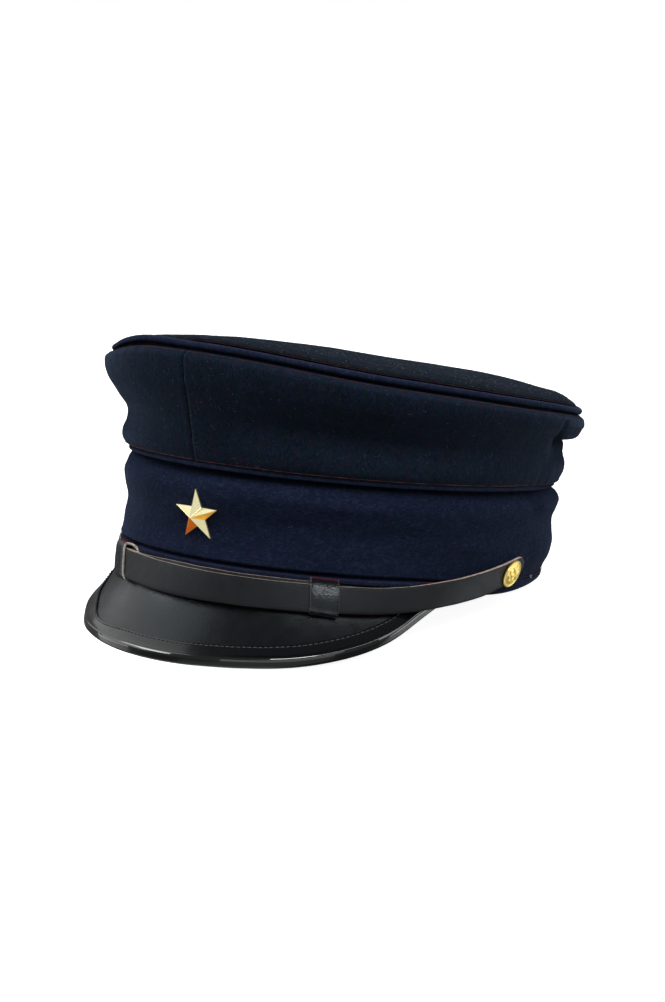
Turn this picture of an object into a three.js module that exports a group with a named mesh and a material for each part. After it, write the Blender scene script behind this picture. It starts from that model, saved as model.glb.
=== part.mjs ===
// Peaked cap: a felt crown on a cloth band, a leather peak with a bound edge, a two-part
// leather strap with two keepers, two buttons and a star badge.
//
// Units are millimetres, +Z is up and the peak points to -Y; the wearer's left is +X.
// Every piece is first laid out in the head frame, whose Z axis runs up through the band and
// whose Z = 0 is the band's lower edge.  The finished group is then tipped back, as the cap
// stands by itself on its peak and the back of its band, and centred over the origin.
import * as THREE from 'three';
import { mergeVertices } from 'three/addons/utils/BufferGeometryUtils.js';

// ---- driving dimensions -------------------------------------------------------------------
const DEG = Math.PI / 180;
const GAP = 0.3;                  // clearance between neighbouring pieces

const OVAL_HALF_LENGTH = 102.6;   // outside of the cap at the crown seam, front to back
const OVAL_HALF_WIDTH = 89.8;     // the same, side to side
const SEAM_HEIGHT = 41.1;         // crown seam above the band's lower edge
const RIM_MEAN_HEIGHT = 78.3;     // lower side of the top piping
const RIM_FRONT_RISE = 7.1;       // the front of the rim is this much over the mean
const RIM_SADDLE = 2.6;           // front and back lift over the sides
const RIM_MEAN_FLARE = 10.95;     // the rim's reach outside the seam oval
const RIM_FRONT_FLARE = 1.6;
const RIM_SADDLE_FLARE = 1.05;
const REST_TILT = 9.5 * DEG;      // the front stands up by this when the cap is put down

const SEAM_BEARING = -0.8 * DEG;  // the crown's front seam is a little off the middle
const CROWN_CLOTH = 2.0;
const BAND_CLOTH = 2.6;           // band cloth with its backing
const PIPING_REACH = 3.9;         // the piping is a quarter-round cord of this radius
const PIPING_SINK = 0.3;          // and starts this far under the rim line
const TIP_CLOTH = 2.0;
const TIP_DOME = 7.8;             // crown top rises this far over its edge
const TIP_DOME_POWER = 6;         // flat in the middle, steeper near the edge
const TIP_EDGE_INSET = 3.9;       // edge of the top inside the rim outline
const TIP_EDGE_LIFT = 4.0;        // edge of the top over the rim line
const WELT_RADIUS = 0.75;         // narrow welt between crown and band

const HEM_THICKNESS = 3.3;        // rolled hem under the band
const HEM_HEIGHT = 2.9;
const HEM_PROUD = 0.3;            // the hem stands outside the band by this
const HEM_SIDE_DIP = 3.0;         // the hem sags a little at both sides
const HEM_DIP_BEARING = 86 * DEG;
const HEM_DIP_REACH = 34 * DEG;

const PEAK_HALF_ANGLE = 70.2 * DEG; // bearing at which the peak's edge would meet the band
const PEAK_END_ANGLE = 65.5 * DEG; // bearing of the blunt end behind the strap
const PEAK_ASIDE = 1.2 * DEG;     // the peak is set a little to the wearer's left
const PEAK_LENGTH = 41.2;         // from band to edge at the front
const PEAK_FALL_POWER = 2.38;     // how the length falls off towards the ends
const PEAK_SLOPE = 60.7 * DEG;    // below the horizontal of the head frame
const PEAK_SLOPE_GAIN = 12.1 * DEG;
const PEAK_THICKNESS = 1.4;
const PEAK_ROOT_INSET = 2.5;      // root of the peak inside the seam oval
const PEAK_ROOT_DROP = 0.42;      // share of the length that leaves the band nearly upright
const BINDING_THICKNESS = 0.8;
const BINDING_TOP_WIDTH = 9.6;
const BINDING_UNDER_WIDTH = 7.5;

const STRAP_WIDTH = 11.5;
const STRAP_THICKNESS = 1.4;
const STRAP_BEVEL = 0.35;
const STRAP_LAYER_STEP = 1.3;     // the inner layer sits this much higher than the outer one
const BUTTON_BEARING = 89.3 * DEG;
const BUTTON_RADIUS = 6.1;
const BUTTON_HEIGHT = 3.4;
const KEEPER_WALL = 0.9;
const KEEPER_SPAN = 6.5 * DEG;    // bearings that a keeper covers
const CENTER_KEEPER_BEARING = 37.4 * DEG;
const SIDE_KEEPER_BEARING = -22.8 * DEG;

const STAR_RADIUS = 11.2;
const STAR_INNER_SHARE = 0.4;     // notch radius over tip radius
const STAR_RELIEF = 4.8;
const STAR_EDGE = 0.7;            // upright edge under the facets
const STAR_HEIGHT = 21.0;         // centre over the band's lower edge
const STAR_LEAN = -7.5 * DEG;     // follows the band, which leans in towards its waist
const STAR_STANDOFF = 0.5;        // middle of its back outside the seam oval
const STAR_ASIDE = 1.4;           // pinned a little to the wearer's left of the middle

const RING_STATIONS = 52;
const PEAK_STATIONS = 31;
const STRAP_STEP = 3.5 * DEG;

// Crown wall: how far it stands outside (+) or inside (-) a straight line from seam to rim.
// A row is one level, 0 at the seam and 1 at the rim; the columns are bearings round the cap.
const CROWN_PROFILE = [
  { level: 0.00, front: 0.1, quarter: 0.0, side: -0.4, fold: -0.5, back: -0.4 },
  { level: 0.06, front: 1.3, quarter: 1.5, side: 0.8, fold: 0.6, back: 0.6 },
  { level: 0.16, front: 1.8, quarter: 1.8, side: 1.4, fold: 1.4, back: 1.2 },
  { level: 0.30, front: 1.7, quarter: -0.4, side: 0.4, fold: 1.0, back: 0.2 },
  { level: 0.42, front: 1.8, quarter: -2.6, side: -0.6, fold: -1.4, back: -0.8 },
  { level: 0.54, front: 2.3, quarter: -1.9, side: -0.4, fold: -3.1, back: -0.8 },
  { level: 0.65, front: 2.9, quarter: 0.1, side: 0.5, fold: -4.4, back: 0.2 },
  { level: 0.71, front: 3.1, quarter: 1.9, side: 1.1, fold: 0.8, back: 1.0 },
  { level: 0.79, front: 3.0, quarter: 3.5, side: 1.9, fold: 2.0, back: 1.8 },
  { level: 0.88, front: 2.6, quarter: 4.1, side: 2.3, fold: 1.9, back: 2.0 },
  { level: 0.95, front: 1.7, quarter: 2.8, side: 1.7, fold: 1.2, back: 1.3 },
  { level: 1.00, front: -0.4, quarter: -0.4, side: -0.4, fold: -0.4, back: -0.4 },
];

// Band: distance outside the seam oval.  A row is one height over the band's lower edge.
const BAND_PROFILE = [
  { level: 3.2, front: 0.1, quarter: 0.1, side: -1.4, fold: -1.5, back: -1.0 },
  { level: 5.5, front: -0.1, quarter: -0.1, side: -0.8, fold: -0.9, back: -0.6 },
  { level: 10, front: -0.7, quarter: -1.1, side: 0.3, fold: -0.1, back: -0.1 },
  { level: 16, front: -1.1, quarter: -1.5, side: 0.9, fold: 1.4, back: 0.2 },
  { level: 21, front: -0.8, quarter: -1.2, side: 0.9, fold: 1.2, back: 0.4 },
  { level: 27, front: 0.4, quarter: 0.1, side: 1.1, fold: 0.6, back: 0.8 },
  { level: 32, front: 1.3, quarter: 1.4, side: 1.6, fold: 2.3, back: 1.4 },
  { level: 36, front: 0.9, quarter: 0.9, side: 1.3, fold: 2.4, back: 1.3 },
  { level: 39.2, front: -0.5, quarter: -0.5, side: -0.6, fold: -0.6, back: -0.6 },
];

// Run of the strap, the same on both sides: degrees from the front, height of its middle,
// distance of its back outside the seam oval, and lean of its face in degrees.
const STRAP_RUN = [
  { at: -10, height: -5.6, standoff: 1.9, lean: 9 },
  { at: 0, height: -5.6, standoff: 1.9, lean: 9 },
  { at: 20, height: -5.8, standoff: 1.9, lean: 9 },
  { at: 38, height: -5.6, standoff: 1.9, lean: 9 },
  { at: 50, height: -4.8, standoff: 2.5, lean: 9 },
  { at: 60, height: -3.1, standoff: 3.8, lean: 5 },
  { at: 70, height: -0.2, standoff: 3.0, lean: -5 },
  { at: 80, height: 3.4, standoff: 1.8, lean: -13 },
  { at: 90, height: 7.4, standoff: 1.4, lean: -17 },
  { at: 100, height: 11.8, standoff: 1.3, lean: -17 },
];

// Bearings, in degrees from the front towards the wearer's left, that the columns stand for.
const BEARINGS = [
  { at: -180, column: 'back' },
  { at: -90, column: 'side' },
  { at: -45, column: 'quarter' },
  { at: 0, column: 'front' },
  { at: 45, column: 'quarter' },
  { at: 90, column: 'side' },
  { at: 124, column: 'fold' },
  { at: 180, column: 'back' },
];

// ---- small helpers ------------------------------------------------------------------------
const smooth = (low, high, value) => THREE.MathUtils.smoothstep(value, low, high);

// A column of a profile table at one bearing, eased between the two nearest named bearings.
function tableValue(row, bearing) {
  const degrees = bearing / DEG;
  const next = Math.max(1, BEARINGS.findIndex((entry) => entry.at >= degrees));
  const low = BEARINGS[next - 1];
  const high = BEARINGS[next];
  const share = smooth(low.at, high.at, degrees);
  return THREE.MathUtils.lerp(row[low.column], row[high.column], share);
}

// A point in the head frame, standing off the seam oval at a bearing.
function ovalPoint(bearing, standoff, height) {
  return new THREE.Vector3(
    (OVAL_HALF_WIDTH + standoff) * Math.sin(bearing),
    -(OVAL_HALF_LENGTH + standoff) * Math.cos(bearing),
    height,
  );
}

// The horizontal direction square to the seam oval at a bearing.
function ovalNormal(bearing) {
  const x = Math.sin(bearing) / OVAL_HALF_WIDTH;
  const y = -Math.cos(bearing) / OVAL_HALF_LENGTH;
  return new THREE.Vector3(x, y, 0).normalize();
}

function rimHeight(bearing) {
  return RIM_MEAN_HEIGHT + RIM_FRONT_RISE * Math.cos(bearing)
    + RIM_SADDLE * Math.cos(2 * bearing);
}

function rimStandoff(bearing) {
  return RIM_MEAN_FLARE + RIM_FRONT_FLARE * Math.cos(bearing)
    + RIM_SADDLE_FLARE * Math.cos(2 * bearing);
}

function hemBottom(bearing) {
  const away = (Math.abs(bearing) - HEM_DIP_BEARING) / HEM_DIP_REACH;
  return Math.abs(away) < 1 ? -HEM_SIDE_DIP * Math.cos(away * Math.PI / 2) ** 2 : 0;
}

// A bearing brought back between -180 and +180 degrees.
const wrap = (bearing) => THREE.MathUtils.euclideanModulo(bearing + Math.PI, 2 * Math.PI) - Math.PI;

// Evenly spaced bearings; a closed ring leaves out the repeated last one.
function bearings(from, to, count, closed = false) {
  const steps = closed ? count : count - 1;
  return Array.from({ length: count }, (_, i) => from + (to - from) * i / steps);
}

const ringBearings = () => bearings(-Math.PI, Math.PI, RING_STATIONS, true);

// Points of an arc in a section, from one angle to another.
function arc(cx, cy, rx, ry, fromAngle, toAngle, count) {
  return bearings(fromAngle, toAngle, count)
    .map((angle) => [cx + rx * Math.cos(angle), cy + ry * Math.sin(angle)]);
}

// ---- solids -------------------------------------------------------------------------------
// A closed solid through matching loops of points: each loop is one section.  A closed sweep
// joins its last loop to its first; an open one gets a flat cap at each end.
function loftedSolid(loops, closed, capOutline = null) {
  const size = loops[0].length;
  const positions = loops.flat().flatMap((point) => point.toArray());
  const index = [];
  const spans = closed ? loops.length : loops.length - 1;
  for (let i = 0; i < spans; i += 1) {
    const here = i * size;
    const there = ((i + 1) % loops.length) * size;
    for (let j = 0; j < size; j += 1) {
      const k = (j + 1) % size;
      index.push(here + j, there + j, there + k);
      index.push(here + j, there + k, here + k);
    }
  }
  if (!closed) {
    const last = (loops.length - 1) * size;
    const outline = capOutline ?? capPlane(loops[0]);
    if (THREE.ShapeUtils.isClockWise(outline)) outline.forEach((point) => point.setX(-point.x));
    for (const [a, b, c] of THREE.ShapeUtils.triangulateShape(outline, [])) {
      index.push(a, b, c);
      index.push(last + a, last + c, last + b);
    }
  }
  return finishSolid(positions, index);
}

// A section's own outline, flattened for triangulating its cap.
function capPlane(loop) {
  const middle = loop.reduce((sum, p) => sum.add(p), new THREE.Vector3());
  middle.divideScalar(loop.length);
  const across = loop[0].clone().sub(middle).normalize();
  const normal = new THREE.Vector3();
  for (let j = 0; j < loop.length; j += 1) {
    const a = loop[j].clone().sub(middle);
    const b = loop[(j + 1) % loop.length].clone().sub(middle);
    normal.add(a.cross(b));
  }
  const up = normal.normalize().cross(across);
  return loop.map((p) => {
    const arm = p.clone().sub(middle);
    return new THREE.Vector2(arm.dot(across), arm.dot(up));
  });
}

// Welds coincident points, drops collapsed triangles and turns the faces outwards.
function finishSolid(positions, index) {
  const raw = new THREE.BufferGeometry();
  raw.setAttribute('position', new THREE.Float32BufferAttribute(positions, 3));
  raw.setIndex(index);
  const welded = mergeVertices(raw, 1e-4);
  const old = welded.index.array;
  const kept = [];
  for (let i = 0; i < old.length; i += 3) {
    const [a, b, c] = [old[i], old[i + 1], old[i + 2]];
    if (a !== b && b !== c && c !== a) kept.push(a, b, c);
  }
  if (signedVolume(welded, kept) < 0) kept.reverse();
  welded.setIndex(kept);
  welded.computeVertexNormals();
  return welded;
}

function signedVolume(geometry, index) {
  const place = geometry.getAttribute('position');
  const [a, b, c] = [new THREE.Vector3(), new THREE.Vector3(), new THREE.Vector3()];
  let sum = 0;
  for (let i = 0; i < index.length; i += 3) {
    a.fromBufferAttribute(place, index[i]);
    b.fromBufferAttribute(place, index[i + 1]);
    c.fromBufferAttribute(place, index[i + 2]);
    sum += a.dot(b.cross(c));
  }
  return sum;
}

// A solid ring round the oval: sectionAt(bearing) gives its outline as [standoff, height].
function ovalRing(sectionAt, at = ringBearings(), closed = true) {
  const loops = at.map((bearing) => sectionAt(bearing)
    .map(([standoff, height]) => ovalPoint(bearing, standoff, height)));
  return loftedSolid(loops, closed);
}

// ---- crown --------------------------------------------------------------------------------
const crownFoot = SEAM_HEIGHT + WELT_RADIUS + 0.05;
const crownHead = (bearing) => rimHeight(bearing) - PIPING_SINK - 0.5 - GAP;

// One level of the crown wall, as [standoff, height] of its outer face.
function crownLevel(row, bearing) {
  const height = THREE.MathUtils.lerp(crownFoot, crownHead(bearing), row.level);
  const standoff = rimStandoff(bearing) * row.level + tableValue(row, bearing);
  return [standoff, height];
}

function crownSection(bearing) {
  const outer = CROWN_PROFILE.map((row) => crownLevel(row, bearing));
  const inner = outer.filter((_, i) => i % 2 === 0 || i === outer.length - 1)
    .map(([standoff, height]) => [standoff - CROWN_CLOTH, height]);
  return [...outer, ...inner.reverse()];
}

function crownSide(sign) {
  const edge = Math.asin(GAP / 2 / OVAL_HALF_WIDTH);
  const at = bearings(edge, Math.PI - edge, RING_STATIONS / 2 + 1)
    .map((bearing) => wrap(sign * bearing + SEAM_BEARING));
  return ovalRing(crownSection, at, false);
}

// The crown's top: rings of points from the middle to the edge, above and below.
function crownTip() {
  const shares = [0, 0.35, 0.6, 0.78, 0.9, 0.97, 1];
  const surface = (share, bearing, drop) => {
    const reach = rimStandoff(bearing) - TIP_EDGE_INSET;
    const edge = ovalPoint(bearing, reach, 0);
    const base = RIM_MEAN_HEIGHT + RIM_FRONT_RISE * share * Math.cos(bearing)
      + RIM_SADDLE * share ** 2 * Math.cos(2 * bearing);
    const dome = TIP_DOME * (1 - share ** TIP_DOME_POWER);
    return new THREE.Vector3(edge.x * share, edge.y * share, base + TIP_EDGE_LIFT + dome - drop);
  };
  const innerShares = shares.filter((_, i) => i % 2 === 0).reverse();
  const loops = ringBearings().map((bearing) => [
    ...shares.map((share) => surface(share, bearing, 0)),
    ...innerShares.map((share) => surface(share * 0.985, bearing, TIP_CLOTH)),
  ]);
  return loftedSolid(loops, true);
}

function topPiping() {
  return ovalRing((bearing) => {
    const standoff = rimStandoff(bearing) + PIPING_SINK - PIPING_REACH;
    const height = rimHeight(bearing) - PIPING_SINK;
    return [
      ...arc(standoff, height, PIPING_REACH, PIPING_REACH, 0, Math.PI / 2, 5),
      [standoff - 0.9, height + PIPING_REACH - 0.7],
      [standoff - 0.9, height],
      [standoff + 0.9, height - 0.5],
      [standoff + PIPING_REACH - 0.6, height - 0.5],
    ];
  });
}

function crownWelt() {
  return ovalRing(() => arc(-0.5, SEAM_HEIGHT - GAP, 1.2, WELT_RADIUS, 0, 5 / 3 * Math.PI, 6));
}

// ---- band ---------------------------------------------------------------------------------
const bandStandoff = (row, bearing) => tableValue(row, bearing);

function bandSection(bearing) {
  const outer = BAND_PROFILE.map((row) => [bandStandoff(row, bearing), row.level]);
  const inner = outer.filter((_, i) => i % 2 === 0)
    .map(([standoff, height]) => [standoff - BAND_CLOTH, height]);
  return [...outer, ...inner.reverse()];
}

function bottomWelt() {
  const foot = BAND_PROFILE[0];
  return ovalRing((bearing) => {
    const outer = bandStandoff(foot, bearing) + HEM_PROUD;
    const low = hemBottom(bearing);
    return [
      [outer - HEM_THICKNESS, low],
      [outer - 1.5, low],
      [outer, low + 1.5],
      [outer, HEM_HEIGHT - 0.6],
      [outer - 0.6, HEM_HEIGHT],
      [outer - HEM_THICKNESS, HEM_HEIGHT],
    ];
  });
}

// ---- peak ---------------------------------------------------------------------------------
// The peak's middle surface at one bearing, as a curve of [outward, up] from the seam oval.
function peakProfile(bearing) {
  const share = Math.abs(bearing) / PEAK_HALF_ANGLE;
  const length = PEAK_LENGTH * (1 - share ** PEAK_FALL_POWER);
  const slope = PEAK_SLOPE + PEAK_SLOPE_GAIN * share ** 2;
  const front = 0.8 * Math.cos(bearing);
  const root = new THREE.Vector2(front - PEAK_ROOT_INSET, hemBottom(bearing + PEAK_ASIDE) - GAP);
  const edge = new THREE.Vector2(
    front - 0.7 + length * Math.cos(slope),
    -0.4 - length * Math.sin(slope),
  );
  const bend = new THREE.Vector2(root.x + 0.03 * length, root.y - PEAK_ROOT_DROP * length);
  return new THREE.QuadraticBezierCurve(root, bend, edge);
}

// A point of the peak: distance back from its edge, and distance over its middle surface.
function peakPoint(bearing, profile, back, over) {
  const share = Math.max(0, 1 - back / profile.getLength());
  const at = profile.getPointAt(share);
  const along = profile.getTangentAt(share);
  const out = at.x - along.y * over;
  const up = at.y + along.x * over;
  return ovalPoint(bearing, 0, up).addScaledVector(ovalNormal(bearing), out);
}

// Where the binding's upper and lower strips stop, measured back from the peak's edge.
function bindingReach(length) {
  return [Math.min(BINDING_TOP_WIDTH, 0.72 * length), Math.min(BINDING_UNDER_WIDTH, 0.6 * length)];
}

function peakSolid(sectionFor) {
  const loops = bearings(-PEAK_END_ANGLE, PEAK_END_ANGLE, PEAK_STATIONS).map((bearing) => {
    const profile = peakProfile(bearing);
    return sectionFor(profile.getLength())
      .map(([back, over]) => peakPoint(bearing + PEAK_ASIDE, profile, back, over));
  });
  return loftedSolid(loops, false, sectionFor(20).map(([x, y]) => new THREE.Vector2(x, y)));
}

function peak() {
  const half = PEAK_THICKNESS / 2;
  return peakSolid((length) => {
    const [top] = bindingReach(length);
    const stops = [
      BINDING_THICKNESS + GAP,
      top / 2,
      top,
      THREE.MathUtils.lerp(top, length, 0.35),
      THREE.MathUtils.lerp(top, length, 0.7),
      length,
    ];
    const above = stops.map((back) => [back, half]);
    const below = stops.map((back) => [back, -half]);
    return [...above, ...below.reverse()];
  });
}

function peakBinding() {
  const inside = PEAK_THICKNESS / 2 + GAP;
  const outside = inside + BINDING_THICKNESS;
  return peakSolid((length) => {
    const [top, under] = bindingReach(length);
    return [
      [top, inside],
      [top, outside],
      [top / 2, outside],
      ...arc(outside, 0, -outside, outside, Math.PI / 2, -Math.PI / 2, 5),
      [top / 2, -outside],
      [under, -outside],
      [under, -inside],
      [top / 2, -inside],
      [BINDING_THICKNESS, -inside],
      [BINDING_THICKNESS, inside],
      [top / 2, inside],
    ];
  });
}

// ---- strap --------------------------------------------------------------------------------
// Height, standoff and lean of the strap, as a smooth curve through the rows of its table.
const strapRun = new THREE.CubicInterpolant(
  STRAP_RUN.map((row) => row.at),
  STRAP_RUN.flatMap((row) => [row.height, row.standoff, row.lean]),
  3,
);

function strapRoute(bearing) {
  const [height, standoff] = strapRun.evaluate(Math.abs(bearing) / DEG);
  return ovalPoint(bearing, standoff, height);
}

// The strap's own directions at a bearing: along it, out of its face and up across it.
function strapFrame(bearing) {
  const small = 0.5 * DEG;
  const along = strapRoute(bearing + small).sub(strapRoute(bearing - small)).normalize();
  const lean = strapRun.evaluate(Math.abs(bearing) / DEG)[2] * DEG;
  const out = ovalNormal(bearing).multiplyScalar(Math.cos(lean));
  out.z = Math.sin(lean);
  out.addScaledVector(along, -out.dot(along)).normalize();
  const up = out.clone().cross(along);
  if (up.z < 0) up.negate();
  return { middle: strapRoute(bearing), along, out, up };
}

function strapPoint(bearing, over, across) {
  const { middle, out, up } = strapFrame(bearing);
  return middle.addScaledVector(out, over).addScaledVector(up, across);
}

// How far the back of each layer stands out: the inner layer leaves room for the keepers'
// backs, and the outer one for the inner layer until that ends.
const innerLift = KEEPER_WALL + 1.5 * GAP;
const layerPitch = STRAP_THICKNESS + GAP;

function strapSolid(at, layerAt, halfWidthAt) {
  const loops = at.map((bearing) => {
    const { over, across } = layerAt(bearing);
    const half = halfWidthAt(bearing);
    const bevel = Math.min(STRAP_BEVEL, half * 0.3);
    const top = STRAP_THICKNESS;
    return [
      [0, -half],
      [top - bevel, -half],
      [top, -half + bevel],
      [top, half - bevel],
      [top - bevel, half],
      [0, half],
    ].map(([rise, side]) => strapPoint(bearing, over + rise, across + side));
  });
  return loftedSolid(loops, false);
}

// Bearings from a strap's blunt end to its rounded end past the button, with the half width
// there: full along the strap and falling as a half circle at the rounded end.
const roundEnd = 5.7 * DEG;       // reach of the strap past the button's centre
const roundRadius = STRAP_WIDTH / 2 / (OVAL_HALF_LENGTH * DEG) * DEG;

function strapHalfWidth(bearing) {
  const left = BUTTON_BEARING + roundEnd - Math.abs(bearing);
  const bite = Math.max(0, 1 - left / roundRadius);
  return STRAP_WIDTH / 2 * Math.sqrt(Math.max(0.04, 1 - bite ** 2));
}

function strapBearings(bluntEnd, side) {
  const start = BUTTON_BEARING + roundEnd - roundRadius;
  const straight = Math.round((start - side * bluntEnd) / STRAP_STEP) + 1;
  const run = bearings(side * bluntEnd, start, straight);
  const round = [0.35, 0.62, 0.82, 0.94, 1].map((s) => start + roundRadius * s);
  return [...run, ...round].map((b) => side * b);
}

// The left strap is fixed at the wearer's left button and lies outside the right one.
function strapLeft() {
  const at = strapBearings(SIDE_KEEPER_BEARING - 2.2 * DEG, 1);
  const inner = CENTER_KEEPER_BEARING + 3 * DEG;
  return strapSolid(at, (bearing) => {
    const drop = smooth(inner, inner + 22 * DEG, bearing);
    return { over: (innerLift + layerPitch) * (1 - drop), across: 0 };
  }, strapHalfWidth);
}

function strapRight() {
  const at = strapBearings(CENTER_KEEPER_BEARING + 2.2 * DEG, -1);
  return strapSolid(at, (bearing) => {
    const drop = smooth(28 * DEG, 42 * DEG, -bearing);
    return { over: innerLift * (1 - drop), across: STRAP_LAYER_STEP * (1 - drop) };
  }, strapHalfWidth);
}

// A keeper is a closed loop of leather round both layers of strap.
function keeper(bearing) {
  const low = 0.05;
  const high = innerLift + layerPitch + STRAP_THICKNESS + GAP + KEEPER_WALL;
  const bottom = -STRAP_WIDTH / 2 - GAP - KEEPER_WALL;
  const top = STRAP_WIDTH / 2 + STRAP_LAYER_STEP + 2 * GAP + KEEPER_WALL;
  const middle = [(low + high) / 2, (bottom + top) / 2];
  const corner = 1.6;
  const path = [[1, 1, 0], [-1, 1, 90], [-1, -1, 180], [1, -1, 270]].flatMap(([sx, sy, turn]) => {
    const cx = middle[0] + sx * ((high - low) / 2 - corner);
    const cy = middle[1] + sy * ((top - bottom) / 2 - corner);
    return [0, 45, 90].map((step) => {
      const angle = (turn + step) * DEG;
      return { at: [cx, cy], dir: [Math.cos(angle), Math.sin(angle)] };
    });
  });
  const ends = [-0.5, 0, 0.5].map((s) => bearing + s * KEEPER_SPAN);
  const loops = path.map(({ at, dir }) => {
    const place = (b, radius) => strapPoint(b, at[0] + dir[0] * radius, at[1] + dir[1] * radius);
    return [
      ...ends.map((b) => place(b, corner)),
      ...ends.toReversed().map((b) => place(b, corner - KEEPER_WALL)),
    ];
  });
  return loftedSolid(loops, true);
}

// ---- metalwork ----------------------------------------------------------------------------
function buttonGeometry() {
  const rim = 0.9;
  const profile = [
    [0, 0],
    [BUTTON_RADIUS - 0.6, 0],
    [BUTTON_RADIUS, 0.6],
    [BUTTON_RADIUS, 1.2],
    [BUTTON_RADIUS - rim / 2, 1.6],
    [BUTTON_RADIUS - rim, 1.4],
    [BUTTON_RADIUS * 0.62, 2.5],
    [BUTTON_RADIUS * 0.32, 3.15],
    [0, BUTTON_HEIGHT],
  ].map(([x, y]) => new THREE.Vector2(x, y));
  const lathe = new THREE.LatheGeometry(profile, 20);
  lathe.deleteAttribute('normal');
  lathe.deleteAttribute('uv');
  lathe.rotateX(Math.PI / 2);
  return finishSolid([...lathe.getAttribute('position').array], [...lathe.index.array]);
}

function starGeometry() {
  const rim = bearings(0, 2 * Math.PI, 10, true).map((angle, i) => {
    const radius = STAR_RADIUS * (i % 2 ? STAR_INNER_SHARE : 1);
    return [radius * Math.sin(angle), radius * Math.cos(angle)];
  });
  const positions = [0, 0, 0, 0, 0, STAR_RELIEF];
  for (const [x, y] of rim) positions.push(x, y, 0, x, y, STAR_EDGE);
  const index = [];
  for (let i = 0; i < rim.length; i += 1) {
    const low = 2 + 2 * i;
    const next = 2 + 2 * ((i + 1) % rim.length);
    index.push(0, low, next, 1, next + 1, low + 1);
    index.push(low, low + 1, next + 1, low, next + 1, next);
  }
  return finishSolid(positions, index);
}

// ---- materials ----------------------------------------------------------------------------
function finish(color, roughness, metalness = 0) {
  return new THREE.MeshStandardMaterial({ color, roughness, metalness });
}

const crownWool = finish(0x11161d, 0.95);
const bandWool = finish(0x151a29, 0.95);
const pipingWool = finish(0x14182a, 0.9);
const patentLeather = finish(0x14171a, 0.25);
const strapLeather = finish(0x25262b, 0.6);
const gold = finish(0xd8a93a, 0.3, 1);

// ---- assembly -----------------------------------------------------------------------------
const head = new THREE.Group();

function add(name, geometry, material) {
  const mesh = new THREE.Mesh(geometry, material);
  mesh.name = name;
  head.add(mesh);
  return mesh;
}

// Turns a mesh built looking along +Z so that it faces out of the cap.
function face(mesh, place, out, up) {
  const across = up.clone().cross(out).normalize();
  const square = out.clone().cross(across);
  mesh.position.copy(place);
  mesh.quaternion.setFromRotationMatrix(new THREE.Matrix4().makeBasis(across, square, out));
}

function fixButton(mesh, side) {
  const bearing = side * BUTTON_BEARING;
  const { middle, out, up } = strapFrame(bearing);
  face(mesh, middle.addScaledVector(out, STRAP_THICKNESS + GAP), out, up);
}

add('crown_tip', crownTip(), crownWool);
add('top_piping', topPiping(), pipingWool);
add('crown_side_left', crownSide(1), crownWool);
add('crown_side_right', crownSide(-1), crownWool);
add('crown_welt', crownWelt(), pipingWool);
add('band', ovalRing(bandSection), bandWool);
add('bottom_welt', bottomWelt(), bandWool);
add('peak', peak(), patentLeather);
add('peak_binding', peakBinding(), patentLeather);
add('strap_left', strapLeft(), strapLeather);
add('strap_right', strapRight(), strapLeather);
add('keeper_center', keeper(CENTER_KEEPER_BEARING), strapLeather);
add('keeper_side', keeper(SIDE_KEEPER_BEARING), strapLeather);
fixButton(add('button_left', buttonGeometry(), gold), 1);
fixButton(add('button_right', buttonGeometry(), gold), -1);

const starOut = new THREE.Vector3(0, -Math.cos(STAR_LEAN), Math.sin(STAR_LEAN));
const starPlace = new THREE.Vector3(STAR_ASIDE, -OVAL_HALF_LENGTH - STAR_STANDOFF, STAR_HEIGHT);
face(add('star_badge', starGeometry(), gold), starPlace, starOut, new THREE.Vector3(0, 0, 1));

// Tip the cap back onto its peak and the back of its band, and centre it over the origin.
const cap = new THREE.Group();
cap.add(head);
head.rotation.x = -REST_TILT;
cap.updateMatrixWorld(true);
const bounds = new THREE.Box3().setFromObject(cap, true);
const centre = bounds.getCenter(new THREE.Vector3());
head.position.set(-centre.x, -centre.y, -bounds.min.z);

export default cap;
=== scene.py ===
"""Looks of a peaked cap: wool crown and band, leather peak with a glossy bound edge, a strap
of two layers with keepers, gilt buttons and a star.

Sizes are millimetres and degrees in the head frame, whose Z axis runs up through the band and
whose Z = 0 is the band's lower edge; place() takes them to the metres of the row frame.  A
bearing is an angle round the cap, 0 at the peak and growing towards the wearer's left.
"""
import itertools
import math

import bmesh
import bpy
import numpy as np
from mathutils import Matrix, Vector


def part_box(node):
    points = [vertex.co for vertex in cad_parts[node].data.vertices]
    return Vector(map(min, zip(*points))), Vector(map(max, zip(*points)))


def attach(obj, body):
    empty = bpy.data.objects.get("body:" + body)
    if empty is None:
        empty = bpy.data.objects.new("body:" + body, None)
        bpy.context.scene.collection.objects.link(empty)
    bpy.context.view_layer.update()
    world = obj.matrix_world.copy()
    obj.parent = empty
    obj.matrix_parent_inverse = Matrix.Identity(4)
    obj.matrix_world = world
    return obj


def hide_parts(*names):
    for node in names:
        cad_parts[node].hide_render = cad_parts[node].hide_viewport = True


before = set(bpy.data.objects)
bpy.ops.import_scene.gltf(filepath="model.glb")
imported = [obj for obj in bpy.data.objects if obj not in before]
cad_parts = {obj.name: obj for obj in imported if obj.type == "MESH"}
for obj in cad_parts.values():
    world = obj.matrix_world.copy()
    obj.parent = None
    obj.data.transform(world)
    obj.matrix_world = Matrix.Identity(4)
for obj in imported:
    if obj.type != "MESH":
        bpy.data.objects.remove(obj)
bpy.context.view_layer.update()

# ---- driving dimensions, millimetres and degrees --------------------------------------------
MM = 0.001
TILT = 9.5                   # the head frame leans back by this when the cap stands by itself
HALF_LENGTH = 102.6          # the oval of the crown's seam
HALF_WIDTH = 89.8
SEAM_HEIGHT = 41.1
GAP = 0.3

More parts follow.
